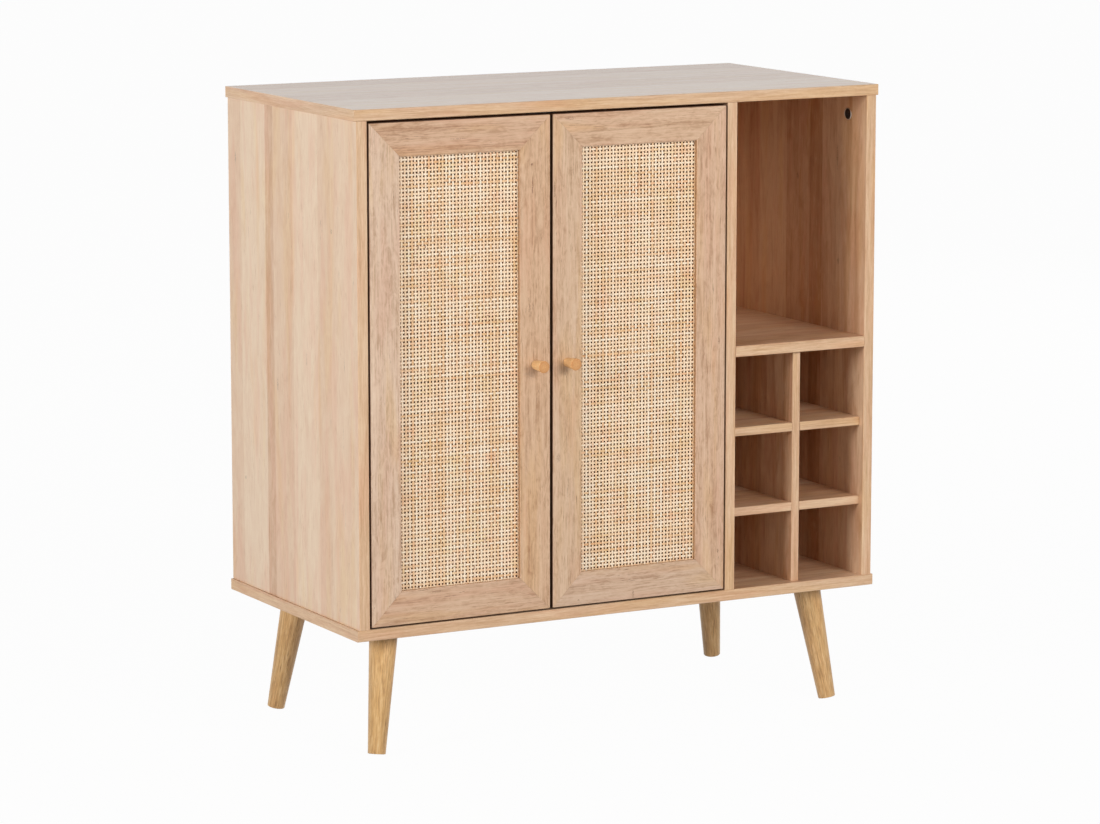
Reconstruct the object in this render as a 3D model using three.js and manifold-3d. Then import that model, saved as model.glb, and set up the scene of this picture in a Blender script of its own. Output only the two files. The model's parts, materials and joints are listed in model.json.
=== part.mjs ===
// Wine cabinet: an oak-laminate case on four splayed, tapered legs. Two inset doors with
// mitred frames and woven cane close the wide bay on the left. On the right an open bay
// stands over an egg-crate rack for six bottles.
// Millimetres, +Z up, the front faces -Y. The origin lies on the floor, below the middle
// of the whole object, knobs included.
import * as THREE from "three";
import { mergeVertices } from "three/addons/utils/BufferGeometryUtils.js";
import Module from "manifold-3d";

const wasm = await Module();
wasm.setup();

// Case
const caseWidth = 800;
const caseDepth = 400;
const caseHeight = 700;
const boardThickness = 15;
const sideInset = 3;
const openBayWidth = 207;
const edgeEase = 0.8;
const boardSeam = 0.1;

// Back board, held in grooves
const backThickness = 3;
const backInset = 10;
const grooveDepth = 6;
const grooveClearance = 0.3;

// Bottle rack under the open shelf
const rackHeight = 322;
const rackBoard = 12;
const rackSetback = 10;
const rackRows = 3;
const halfLapClearance = 0.3;

// Loose shelf behind the doors, on four pins
const looseShelfHeight = 327;
const looseShelfSetback = 42;
const looseShelfSideGap = 0.8;
const looseShelfBackGap = 0.7;
const pinRadius = 2.4;
const pinLength = 16;
const pinHoleClearance = 0.2;
const pinHoleDepth = 9;
const pinEndGap = 0.5;
const pinRestGap = 0.15;
const pinInset = 36;
const pinPitch = 32;
const pinNose = 0.8;

// Doors
const doorSideGap = 2;
const doorMeetingGap = 3;
const doorTopGap = 3;
const doorBottomGap = 2;
const frameWidth = 45.5;
const frameThickness = 18;
const frameBand = 12;
const frameFall = 1.2;
const frameEase = 1;
const lipEase = 0.6;
const lipDepth = 4.5;
const rebateWidth = 6;
const mitreSeam = 0.2;

// Cane panel and the bead that holds it in the rebate
const caneThickness = 2;
const caneColumns = 7;
const caneRows = 21;
const caneHoleShare = 0.42;
const caneSeat = 0.2;
const beadSetback = 1;
const beadInnerStep = 1;

// Knobs, each held by a screw from behind
const knobLength = 25;
const knobBaseRadius = 6;
const knobFaceRadius = 8.2;
const knobFaceEase = 1.2;
const knobBaseGap = 0.05;
const knobBoreDepth = 15;
const screwRadius = 1.8;
const screwHeadRadius = 4;
const screwHeadHeight = 2.4;
const screwClearance = 0.4;
const screwEndGap = 1;

// Concealed hinges: a cup in the door, a gooseneck arm and a plate on the wall
const hingeEndDistance = 100;
const pivotInset = 16;
const pivotDepth = 8;
const pivotPinRadius = 1;
const pivotPinClearance = 0.3;
const knuckleRadius = 1.9;
const cupRadius = 17.5;
const cupBoreEdge = 3;
const cupDepth = 13;
const cupWall = 0.8;
const cupClearance = 0.3;
const cupFlange = 1.2;
const cupRim = 2;
const cupWingWidth = 16;
const cupWingLength = 62;
const cupWingEase = 4;
const cupScrewPitch = 48;
const cupScrewRadius = 2;
const armWidth = 12;
const armSheet = 1.2;
const neckReach = 13.2;
const neckBreadth = 6;
const neckBend = 4;
const neckRear = 22;
const armRise = 8;
const armBendDepth = 46;
const armLength = 46;
const plateBase = 2.5;
const plateRidgeWidth = 9;
const plateWingSpan = 48;
const plateWingWidth = 17;
const plateWingDepth = 62;
const plateSpineWidth = 16;
const plateScrewPitch = 32;
const plateScrewRadius = 2.2;
const plateEnd = 4;
const plateSlideGap = 0.3;
const plateEase = 2;

// Magnetic catch under the top, and a strike on each door
const catchWidth = 36;
const catchDepth = 20;
const catchHeight = 13;
const catchPoleWidth = 12;
const catchPoleHeight = 8;
const catchPoleReach = 1;
const catchEase = 2;
const strikeWidth = 14;
const strikeHeight = 12;
const strikeThickness = 1;
const strikeInset = 2;
const strikeDrop = 1;
const strikeGap = 0.3;

// Cam locks that draw the top down on the uprights
const camRadius = 7.4;
const camDepth = 12;
const camBoreClearance = 0.2;
const camRimRadius = 8.8;
const camRimHeight = 0.6;
const camDrop = 29;
const camInset = 48;
const camSlotLength = 8;
const camSlotWidth = 1.4;
const camSlotDepth = 2.5;

// Legs and the steel plates that set their splay
const legInsetX = 70;
const legInsetY = 65;
const legDrop = 164;
const legSplayDegrees = 8;
const legTopRadius = 19;
const legFootRadius = 12;
const legTopEase = 0.6;
const legFootEase = 0.8;
const legPlateSize = 60;
const legPlateThickness = 2.5;
const legPlateEase = 6;
const legPlateScrewInset = 8;
const legPlateScrewRadius = 2.3;
const legBossRadius = 15;
const legBossHeight = 10;
const legSeatGap = 0.3;
const boltRadius = 3.9;
const boltClearance = 0.3;
const boltLength = 8;

// Facets, and the overrun that lets a cutter pass its surface
const roundSides = 24;
const smallSides = 12;
const holeSides = 8;
const curveSteps = 4;
const overrun = 1;

// Places that follow from the sizes above, measured from the case's lower left front corner
const bayFloor = boardThickness;
const bayCeiling = caseHeight - boardThickness;
const leftInner = sideInset + boardThickness;
const rightInner = caseWidth - leftInner;
const dividerRight = rightInner - openBayWidth;
const dividerLeft = dividerRight - boardThickness;
const doorBayWidth = dividerLeft - leftInner;
const backRear = caseDepth - backInset;
const backFront = backRear - backThickness;
const innerDepth = backFront - grooveClearance;
const openShelfFloor = bayFloor + rackHeight;
const doorWidth = (doorBayWidth - 2 * doorSideGap - doorMeetingGap) / 2;
const doorHeight = bayCeiling - bayFloor - doorTopGap - doorBottomGap;
const doorFloor = bayFloor + doorBottomGap;
const caneFront = frameFall + lipDepth;
const caneBack = caneFront + caneSeat + caneThickness;
const splay = THREE.MathUtils.degToRad(legSplayDegrees);
const lean = Math.atan(Math.SQRT2 * Math.tan(splay));
const legAxis = legDrop / Math.cos(lean);
const bossAxis = legBossHeight / Math.cos(lean);
const standHeight = legDrop + (legFootRadius - legFootEase) * Math.sin(lean);
const knobInset = frameWidth / 2;
const knobFaceDepth = frameFall * (knobInset - knobBaseRadius - frameBand) / (frameWidth - lipEase - frameBand);
const knobBase = knobFaceDepth - knobBaseGap;

const oakBoard = new THREE.MeshStandardMaterial({ color: 0xd9b68c, roughness: 0.55, metalness: 0 });
const oakSide = new THREE.MeshStandardMaterial({ color: 0xe1c8af, roughness: 0.55, metalness: 0 });
const oakFrame = new THREE.MeshStandardMaterial({ color: 0xd4b293, roughness: 0.6, metalness: 0 });
const oakInside = new THREE.MeshStandardMaterial({ color: 0xb98a62, roughness: 0.6, metalness: 0 });
const legWood = new THREE.MeshStandardMaterial({ color: 0xbe915a, roughness: 0.5, metalness: 0 });
const knobWood = new THREE.MeshStandardMaterial({ color: 0xe1aa6e, roughness: 0.45, metalness: 0 });
const cane = new THREE.MeshStandardMaterial({ color: 0xf0d9a8, roughness: 0.7, metalness: 0 });
const hardboard = new THREE.MeshStandardMaterial({ color: 0xa98562, roughness: 0.8, metalness: 0 });
const nickel = new THREE.MeshStandardMaterial({ color: 0xb9bbbd, roughness: 0.3, metalness: 0.9 });
const zinc = new THREE.MeshStandardMaterial({ color: 0x8f9296, roughness: 0.45, metalness: 0.8 });
const darkZinc = new THREE.MeshStandardMaterial({ color: 0x4a4744, roughness: 0.5, metalness: 0.6 });
const greyPlastic = new THREE.MeshStandardMaterial({ color: 0x9a9a98, roughness: 0.5, metalness: 0 });

// Turns a closed geometry into a solid that can be cut and joined
function solidOf(geometry) {
  const bare = geometry.clone();
  bare.deleteAttribute("normal");
  bare.deleteAttribute("uv");
  const merged = mergeVertices(bare);
  return new wasm.Manifold(new wasm.Mesh({
    numProp: 3,
    vertProperties: new Float32Array(merged.attributes.position.array),
    triVerts: new Uint32Array(merged.index.array),
  }));
}

function geometryOf(solid) {
  const mesh = solid.getMesh();
  const geometry = new THREE.BufferGeometry();
  geometry.setAttribute("position", new THREE.BufferAttribute(mesh.vertProperties, mesh.numProp));
  geometry.setIndex(new THREE.BufferAttribute(mesh.triVerts, 1));
  const faceted = geometry.toNonIndexed();
  faceted.computeVertexNormals();
  return faceted;
}

function cut(geometry, cutters) {
  return geometryOf(cutters.reduce((rest, cutter) => rest.subtract(solidOf(cutter)), solidOf(geometry)));
}

function join(geometry, others) {
  return geometryOf(others.reduce((whole, other) => whole.add(solidOf(other)), solidOf(geometry)));
}

// A box between two opposite corners
function block([x0, y0, z0], [x1, y1, z1]) {
  const box = new THREE.BoxGeometry(x1 - x0, y1 - y0, z1 - z0);
  return box.translate((x0 + x1) / 2, (y0 + y1) / 2, (z0 + z1) / 2);
}

// A straight extrusion of an outline along +X, +Y or +Z. The outline's two axes are the
// next two in the order X, Y, Z, X, Y.
const turns = {
  z: new THREE.Matrix4(),
  x: new THREE.Matrix4().set(0, 0, 1, 0, 1, 0, 0, 0, 0, 1, 0, 0, 0, 0, 0, 1),
  y: new THREE.Matrix4().set(0, 1, 0, 0, 0, 0, 1, 0, 1, 0, 0, 0, 0, 0, 0, 1),
};

function extrude(outline, length, axis) {
  const options = { depth: length, bevelEnabled: false, curveSegments: curveSteps };
  return new THREE.ExtrudeGeometry(outline, options).applyMatrix4(turns[axis]);
}

function outlineOf(points) {
  return new THREE.Shape(points.map(([a, b]) => new THREE.Vector2(a, b)));
}

// A rectangle with its corners cut off at 45 degrees
function easedRectangle(width, height, ease) {
  return outlineOf([
    [ease, 0], [width - ease, 0], [width, ease], [width, height - ease],
    [width - ease, height], [ease, height], [0, height - ease], [0, ease],
  ]);
}

// A board of the given size with its four long edges eased
function lyingBoard(width, depth, thickness) {
  return extrude(easedRectangle(depth, thickness, edgeEase), width, "x");
}

function standingBoard(thickness, depth, height) {
  return extrude(easedRectangle(thickness, depth, edgeEase), height, "z");
}

// A solid of revolution round +Z from a profile of radius and height
function turned(profile, sides) {
  const points = profile.map(([radius, height]) => new THREE.Vector2(radius, height));
  return new THREE.LatheGeometry(points, sides).rotateX(Math.PI / 2);
}

// A round bar that starts at the origin and runs along +X, +Y or +Z
function bar(radius, length, axis, sides = smallSides) {
  const profile = [[0, 0], [radius, 0], [radius, length], [0, length]];
  return turned(profile, sides).applyMatrix4(turns[axis]);
}

function place(parent, name, geometry, material, x = 0, y = 0, z = 0) {
  const mesh = new THREE.Mesh(geometry, material);
  mesh.name = name;
  mesh.position.set(x, y, z);
  parent.add(mesh);
  return mesh;
}

const cabinet = new THREE.Group();
const carcass = new THREE.Group();
carcass.position.set(-caseWidth / 2, -(caseDepth + knobBase - knobLength) / 2, standHeight);
cabinet.add(carcass);

// The groove for the back board, cut into a board's inner face between two corners
function grooveCut(x0, z0, x1, z1) {
  return block([x0, backFront - grooveClearance, z0], [x1, backRear + grooveClearance, z1]);
}

function addTopAndBottom() {
  const grooveLeft = leftInner - grooveDepth;
  const grooveRight = rightInner + grooveDepth;
  const underside = grooveCut(grooveLeft, -overrun, grooveRight, grooveDepth);
  const upperFace = grooveCut(grooveLeft, boardThickness - grooveDepth, grooveRight, boardThickness + overrun);
  const panel = lyingBoard(caseWidth, caseDepth, boardThickness);
  place(carcass, "top_panel", cut(panel, [underside]), oakBoard, 0, 0, bayCeiling);
  place(carcass, "bottom_panel", cut(panel, [upperFace]), oakBoard);
}

// A blind bore that enters a board along X from one face
function sideBore(radius, depth, faceX, direction, y, z, sides) {
  const bore = bar(radius, depth + overrun, "x", sides);
  const start = direction > 0 ? faceX - overrun : faceX - depth;
  return bore.translate(start, y, z);
}

// Three pin holes one above the other, at the front and at the back of the loose shelf
const pinDepths = [looseShelfSetback + pinInset, innerDepth - looseShelfBackGap - pinInset];
const pinHeight = bayFloor + looseShelfHeight - pinRestGap - pinRadius;

function pinBores(faceX, direction) {
  const bores = [];
  for (const depth of pinDepths) {
    for (const step of [-1, 0, 1]) {
      const height = pinHeight + step * pinPitch - bayFloor;
      const radius = pinRadius + pinHoleClearance;
      bores.push(sideBore(radius, pinHoleDepth, faceX, direction, depth, height, holeSides));
    }
  }
  return bores;
}

// The cam locks sit at the same distances from the front, from the back and from the top
const camDepths = [camInset, caseDepth - camInset];
const dividerCamDepths = [camInset, innerDepth - camInset];
const camHeight = bayCeiling - camDrop;

function camBores(depths, faceX, direction) {
  const radius = camRadius + camBoreClearance;
  const depth = camDepth + camBoreClearance;
  return depths.map((y) => sideBore(radius, depth, faceX, direction, y, camHeight - bayFloor, roundSides));
}

const wallHeight = bayCeiling - bayFloor - 2 * boardSeam;

function addUprights() {
  const wall = standingBoard(boardThickness, caseDepth, wallHeight);
  const leftGroove = grooveCut(boardThickness - grooveDepth, -overrun, boardThickness + overrun, wallHeight + overrun);
  const rightGroove = grooveCut(-overrun, -overrun, grooveDepth, wallHeight + overrun);
  const leftCuts = [leftGroove, ...pinBores(boardThickness, -1), ...camBores(camDepths, boardThickness, -1)];
  const rightCuts = [rightGroove, ...camBores(camDepths, 0, 1)];
  const divider = standingBoard(boardThickness, innerDepth, wallHeight);
  const dividerCuts = [...pinBores(0, 1), ...camBores(dividerCamDepths, 0, 1)];
  const floor = bayFloor + boardSeam;
  place(carcass, "left_side_panel", cut(wall, leftCuts), oakSide, sideInset, 0, floor);
  place(carcass, "right_side_panel", cut(wall, rightCuts), oakSide, rightInner, 0, floor);
  place(carcass, "divider_panel", cut(divider, dividerCuts), oakBoard, dividerLeft, 0, floor);
}

function addBack() {
  const reach = grooveDepth - grooveClearance;
  const width = rightInner - leftInner + 2 * reach;
  const height = bayCeiling - bayFloor + 2 * reach;
  const sheet = block([0, 0, 0], [width, backThickness, height]);
  place(carcass, "back_panel", sheet, hardboard, leftInner - reach, backFront, bayFloor - reach);
}

function addOpenShelf() {
  const shelf = lyingBoard(openBayWidth - 2 * boardSeam, innerDepth, boardThickness);
  place(carcass, "open_shelf", shelf, oakBoard, dividerRight + boardSeam, 0, openShelfFloor);
}

// The rack's boards cross by half laps: the upright is slotted from the back, and each
// shelf from the front, so the upright's front edge runs through
function addRack() {
  const depth = innerDepth - rackSetback;
  const cellHeight = (rackHeight - (rackRows - 1) * rackBoard) / rackRows;
  const uprightLeft = (openBayWidth - rackBoard) / 2;
  const slotStart = depth / 2 - halfLapClearance;
  const slotEnd = depth / 2 + halfLapClearance;
  const levels = [];
  for (let row = 1; row < rackRows; row += 1) {
    levels.push(row * cellHeight + (row - 1) * rackBoard);
  }
  const uprightSlots = levels.map((level) => block(
    [-overrun, slotStart, level - halfLapClearance - boardSeam],
    [rackBoard + overrun, depth + overrun, level + rackBoard + halfLapClearance - boardSeam],
  ));
  const upright = standingBoard(rackBoard, depth, rackHeight - 2 * boardSeam);
  const uprightX = dividerRight + uprightLeft;
  place(carcass, "rack_upright", cut(upright, uprightSlots), oakBoard, uprightX, rackSetback, bayFloor + boardSeam);
  const shelfSlot = block(
    [uprightLeft - halfLapClearance - boardSeam, -overrun, -overrun],
    [uprightLeft + rackBoard + halfLapClearance - boardSeam, slotEnd, rackBoard + overrun],
  );
  const shelf = cut(lyingBoard(openBayWidth - 2 * boardSeam, depth, rackBoard), [shelfSlot]);
  const names = ["rack_shelf_lower", "rack_shelf_upper"];
  levels.forEach((level, index) => {
    place(carcass, names[index], shelf, oakBoard, dividerRight + boardSeam, rackSetback, bayFloor + level);
  });
}

function addLooseShelf() {
  const width = doorBayWidth - 2 * looseShelfSideGap;
  const depth = innerDepth - looseShelfBackGap - looseShelfSetback;
  const shelf = lyingBoard(width, depth, boardThickness);
  const floor = bayFloor + looseShelfHeight;
  place(carcass, "cupboard_shelf", shelf, oakInside, leftInner + looseShelfSideGap, looseShelfSetback, floor);
  const pin = turned([
    [0, 0], [pinRadius - pinNose, 0], [pinRadius, pinNose],
    [pinRadius, pinLength - pinNose], [pinRadius - pinNose, pinLength], [0, pinLength],
  ], holeSides).applyMatrix4(turns.x);
  const sunk = pinHoleDepth - pinEndGap;
  const starts = { left: leftInner - sunk, right: dividerLeft + sunk - pinLength };
  for (const [side, x] of Object.entries(starts)) {
    place(carcass, `shelf_pin_front_${side}`, pin, zinc, x, pinDepths[0], pinHeight);
    place(carcass, `shelf_pin_back_${side}`, pin, zinc, x, pinDepths[1], pinHeight);
  }
}

// A cam lock: a disc in its bore, a thin rim on the board's face and a cross slot
function camLock() {
  const body = turned([
    [0, -camDepth], [camRadius, -camDepth], [camRadius, 0],
    [camRimRadius, 0], [camRimRadius, camRimHeight], [0, camRimHeight],
  ], roundSides);
  const slot = (width, height) => block(
    [-width / 2, -height / 2, camRimHeight - camSlotDepth],
    [width / 2, height / 2, camRimHeight + overrun],
  );
  return cut(body, [slot(camSlotLength, camSlotWidth), slot(camSlotWidth, camSlotLength)]);
}

function addCamLocks() {
  const lock = camLock();
  const walls = [
    ["left", leftInner + boardSeam, Math.PI / 2, camDepths],
    ["divider", dividerLeft - boardSeam, -Math.PI / 2, dividerCamDepths],
    ["right", rightInner - boardSeam, -Math.PI / 2, camDepths],
  ];
  for (const [wall, x, turn, [front, back]] of walls) {
    place(carcass, `cam_lock_${wall}_front`, lock, darkZinc, x, front, camHeight).rotation.y = turn;
    place(carcass, `cam_lock_${wall}_back`, lock, darkZinc, x, back, camHeight).rotation.y = turn;
  }
}

// The lean that takes +Z to the direction of the front left leg's axis
const leanMatrix = new THREE.Matrix4().makeRotationFromEuler(
  new THREE.Euler(0, -lean, Math.PI + Math.PI / 4, "ZYX"),
);

// A steel plate with a slanted boss. The boss's face is square to the leg's axis.
function legPlate() {
  const half = legPlateSize / 2;
  const flange = extrude(easedRectangle(legPlateSize, legPlateSize, legPlateEase), legPlateThickness, "z");
  flange.translate(-half, -half, -legPlateThickness - boardSeam);
  const boss = bar(legBossRadius, bossAxis + overrun + legBossRadius, "z", roundSides);
  boss.translate(0, 0, -bossAxis).applyMatrix4(leanMatrix);
  const above = block([-legPlateSize, -legPlateSize, -boardSeam], [legPlateSize, legPlateSize, legPlateSize]);
  const bolt = bar(boltRadius + boltClearance, 2 * legPlateSize, "z", smallSides);
  bolt.translate(0, 0, -legPlateSize).applyMatrix4(leanMatrix);
  const holes = [above, bolt];
  const holeAt = half - legPlateScrewInset;
  for (const x of [-holeAt, holeAt]) {
    for (const y of [-holeAt, holeAt]) {
      const hole = bar(legPlateScrewRadius, 2 * legPlateSize, "z", holeSides);
      holes.push(hole.translate(x, y, -legPlateSize));
    }
  }
  return cut(join(flange, [boss]), holes);
}

// A tapered leg along -Z from the case's underside, with its bolt on top
function taperedLeg() {
  const top = -bossAxis - legSeatGap;
  const sole = -legAxis;
  const boltTop = top + boltLength;
  return turned([
    [0, sole], [legFootRadius - legFootEase, sole], [legFootRadius, sole + legFootEase],
    [legTopRadius, top - legTopEase], [legTopRadius - legTopEase, top],
    [boltRadius, top], [boltRadius, boltTop], [0, boltTop],
  ], roundSides);
}

function addLegs() {
  const plate = legPlate();
  const leg = taperedLeg();
  const corners = [
    ["front_left", legInsetX, legInsetY],
    ["front_right", caseWidth - legInsetX, legInsetY],
    ["back_right", caseWidth - legInsetX, caseDepth - legInsetY],
    ["back_left", legInsetX, caseDepth - legInsetY],
  ];
  corners.forEach(([corner, x, y], quarter) => {
    const foot = new THREE.Group();
    foot.position.set(x, y, 0);
    foot.rotation.z = quarter * Math.PI / 2;
    place(foot, `leg_plate_${corner}`, plate, zinc);
    place(foot, `leg_${corner}`, leg, legWood).applyMatrix4(leanMatrix);
    carcass.add(foot);
  });
}

// The frame's section: across the frame from its outer edge, and back from its front face.
// The face is flat along the outer band, then falls gently to the lip round the cane.
function frameSection() {
  const inner = frameWidth;
  const shoulder = frameWidth - rebateWidth;
  return outlineOf([
    [frameEase, 0], [frameBand, 0], [inner - lipEase, frameFall], [inner, frameFall + lipEase],
    [inner, caneFront], [shoulder, caneFront], [shoulder, frameThickness],
    [0, frameThickness], [0, frameEase],
  ]);
}

// A length of frame along +Z with a mitre at each end: each end follows the distance
// from the outer edge
function mitredMember(length) {
  const geometry = extrude(frameSection(), 1, "z");
  const points = geometry.attributes.position;
  for (let index = 0; index < points.count; index += 1) {
    const inset = points.getX(index) + mitreSeam;
    points.setZ(index, points.getZ(index) > 0 ? length - inset : inset);
  }
  geometry.computeVertexNormals();
  return geometry;
}

function hingeStile() {
  const depth = cupDepth + cupClearance;
  const bores = [hingeEndDistance, doorHeight - hingeEndDistance].map((height) => {
    const bore = bar(cupRadius, depth + overrun, "y", roundSides);
    return bore.translate(cupBoreEdge + cupRadius, frameThickness - depth, height);
  });
  return cut(mitredMember(doorHeight), bores);
}

function meetingStile() {
  const hole = bar(screwRadius + screwClearance, frameThickness + 2 * overrun, "y");
  return cut(mitredMember(doorHeight), [hole.translate(knobInset, -overrun, doorHeight / 2)]);
}

// An open net of cane with square holes, with a plain border that the rebate hides
function canePanel() {
  const openWidth = doorWidth - 2 * frameWidth;
  const openHeight = doorHeight - 2 * frameWidth;
  const border = rebateWidth - caneSeat;
  const pitchX = openWidth / caneColumns;
  const pitchZ = openHeight / caneRows;
  const halfX = pitchX * caneHoleShare / 2;
  const halfZ = pitchZ * caneHoleShare / 2;
  const holes = [];
  for (let row = 0; row < caneRows; row += 1) {
    for (let column = 0; column < caneColumns; column += 1) {
      const x = border + (column + 1 / 2) * pitchX;
      const z = border + (row + 1 / 2) * pitchZ;
      holes.push(block(
        [x - halfX, -overrun, z - halfZ],
        [x + halfX, caneThickness + overrun, z + halfZ],
      ));
    }
  }
  const sheet = block([0, 0, 0], [openWidth + 2 * border, caneThickness, openHeight + 2 * border]);
  return cut(sheet, holes);
}

// The wooden bead behind the cane, one rectangular ring
function caneBead() {
  const width = doorWidth - 2 * (frameWidth - rebateWidth + caneSeat);
  const height = doorHeight - 2 * (frameWidth - rebateWidth + caneSeat);
  const side = rebateWidth - caneSeat - beadInnerStep;
  const ring = outlineOf([[0, 0], [height, 0], [height, width], [0, width]]);
  ring.holes.push(outlineOf([
    [side, side], [height - side, side], [height - side, width - side], [side, width - side],
  ]));
  return extrude(ring, frameThickness - beadSetback - caneBack - caneSeat, "y");
}

// A peg that widens towards its face, bored from behind for the screw
function knob() {
  return turned([
    [0, knobLength], [knobFaceRadius - knobFaceEase, knobLength],
    [knobFaceRadius, knobLength - knobFaceEase], [knobBaseRadius, 0],
    [screwRadius + screwClearance, 0], [screwRadius + screwClearance, knobBoreDepth], [0, knobBoreDepth],
  ].reverse(), roundSides).rotateX(Math.PI / 2);
}

// The screw runs forward from the back of the stile into the knob
function knobScrew() {
  const reach = frameThickness + knobBoreDepth - screwEndGap;
  return turned([
    [0, reach], [screwRadius, reach], [screwRadius, 0], [screwHeadRadius, 0],
    [screwHeadRadius, -screwHeadHeight / 2], [screwHeadRadius / 2, -screwHeadHeight], [0, -screwHeadHeight],
  ].reverse(), smallSides).rotateX(Math.PI / 2);
}

function strike() {
  const outline = easedRectangle(strikeHeight, strikeWidth, strikeThickness);
  return extrude(outline, strikeThickness, "y");
}

const doorParts = {
  hingeStile: hingeStile(),
  meetingStile: meetingStile(),
  rail: mitredMember(doorWidth),
  cane: canePanel(),
  bead: caneBead(),
  knob: knob(),
  screw: knobScrew(),
  strike: strike(),
};

// A door, measured from its lower left front corner. The left door hangs on its left
// stile, and the right door on its right one.
function addDoor(side, doorLeft) {
  const door = new THREE.Group();
  door.position.set(doorLeft, 0, doorFloor);
  carcass.add(door);
  const hangsLeft = side === "left";
  const leftStile = hangsLeft ? "hinge_stile" : "meeting_stile";
  const rightStile = hangsLeft ? "meeting_stile" : "hinge_stile";
  const stiles = { hinge_stile: doorParts.hingeStile, meeting_stile: doorParts.meetingStile };
  place(door, `${side}_door_${leftStile}`, stiles[leftStile], oakFrame);
  const right = place(door, `${side}_door_${rightStile}`, stiles[rightStile], oakFrame, doorWidth, 0, doorHeight);
  right.rotation.y = Math.PI;
  place(door, `${side}_door_bottom_rail`, doorParts.rail, oakFrame, doorWidth).rotation.y = -Math.PI / 2;
  place(door, `${side}_door_top_rail`, doorParts.rail, oakFrame, 0, 0, doorHeight).rotation.y = Math.PI / 2;
  const seat = frameWidth - rebateWidth + caneSeat;
  place(door, `${side}_cane_panel`, doorParts.cane, cane, seat, caneFront + caneSeat / 2, seat);
  place(door, `${side}_cane_bead`, doorParts.bead, oakFrame, seat, caneBack + caneSeat / 2, seat);
  const knobX = hangsLeft ? doorWidth - knobInset : knobInset;
  const screwBack = frameThickness + boardSeam;
  place(door, `${side}_knob`, doorParts.knob, knobWood, knobX, knobBase, doorHeight / 2);
  place(door, `${side}_knob_screw`, doorParts.screw, nickel, knobX, screwBack, doorHeight / 2);
  const strikeX = hangsLeft ? doorWidth - strikeInset - strikeWidth : strikeInset;
  const strikeZ = doorHeight - strikeDrop - strikeHeight;
  place(door, `${side}_door_strike`, doorParts.strike, nickel, strikeX, frameThickness + boardSeam, strikeZ);
}

// Hinge places, measured from the wall's face and from the door's front
const pivotX = doorSideGap + pivotInset;
const neckInnerX = pivotX + neckReach;
const neckOuterX = neckInnerX + neckBreadth;
const neckRearY = pivotDepth + neckRear;
const armSeatX = boardSeam + plateBase + plateSlideGap;
const armTopX = armSeatX + armRise;
const armEndY = armBendDepth + armLength;

// The gooseneck arm's side outline: a knuckle round the pivot, a neck that passes behind
// the door's hinge edge, and a straight arm along the wall
function armOutline() {
  const outline = new THREE.Shape();
  const front = pivotDepth - knuckleRadius;
  const back = pivotDepth + knuckleRadius;
  outline.moveTo(pivotX, front);
  outline.lineTo(neckOuterX - neckBend, front);
  outline.quadraticCurveTo(neckOuterX, front, neckOuterX, front + neckBend);
  outline.lineTo(neckOuterX, neckRearY);
  outline.quadraticCurveTo(neckOuterX, neckRearY + neckBend, neckOuterX - neckBend, neckRearY + 2 * neckBend);
  outline.lineTo(armTopX, armBendDepth);
  outline.lineTo(armTopX, armEndY);
  outline.lineTo(armSeatX, armEndY);
  outline.lineTo(armSeatX, armBendDepth - neckBend);
  outline.lineTo(neckInnerX - neckBend, neckRearY);
  outline.quadraticCurveTo(neckInnerX, neckRearY - neckBend / 2, neckInnerX, neckRearY - neckBend);
  outline.lineTo(neckInnerX, back + neckBend / 2);
  outline.lineTo(neckInnerX - neckBend / 2, back);
  outline.lineTo(pivotX, back);
  outline.absarc(pivotX, pivotDepth, knuckleRadius, Math.PI / 2, 3 * Math.PI / 2, false);
  return outline;
}

// The channel inside the arm leaves the outer web, the two cheeks and the knuckle
function hingeArm() {
  const body = extrude(armOutline(), armWidth, "z").translate(0, 0, -armWidth / 2);
  const front = pivotDepth - knuckleRadius + armSheet;
  const webX = neckOuterX - armSheet;
  const channel = outlineOf([
    [pivotX + knuckleRadius, front], [webX - armSheet, front], [webX, front + armSheet],
    [webX, neckRearY], [neckOuterX - neckBend - armSheet, neckRearY + 2 * neckBend - armSheet],
    [armTopX - armSheet, armBendDepth - armSheet], [armTopX - armSheet, armEndY + overrun],
    [armSeatX - overrun, armEndY + overrun], [armSeatX - overrun, pivotDepth + knuckleRadius + overrun],
    [pivotX + knuckleRadius, pivotDepth + knuckleRadius + overrun],
  ]);
  const inside = armWidth - 2 * armSheet;
  const pocket = extrude(channel, inside, "z").translate(0, 0, -inside / 2);
  const pinHole = bar(pivotPinRadius + pivotPinClearance, armWidth + 2 * overrun, "z");
  pinHole.translate(pivotX, pivotDepth, -armWidth / 2 - overrun);
  return cut(body, [pocket, pinHole]);
}

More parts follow.
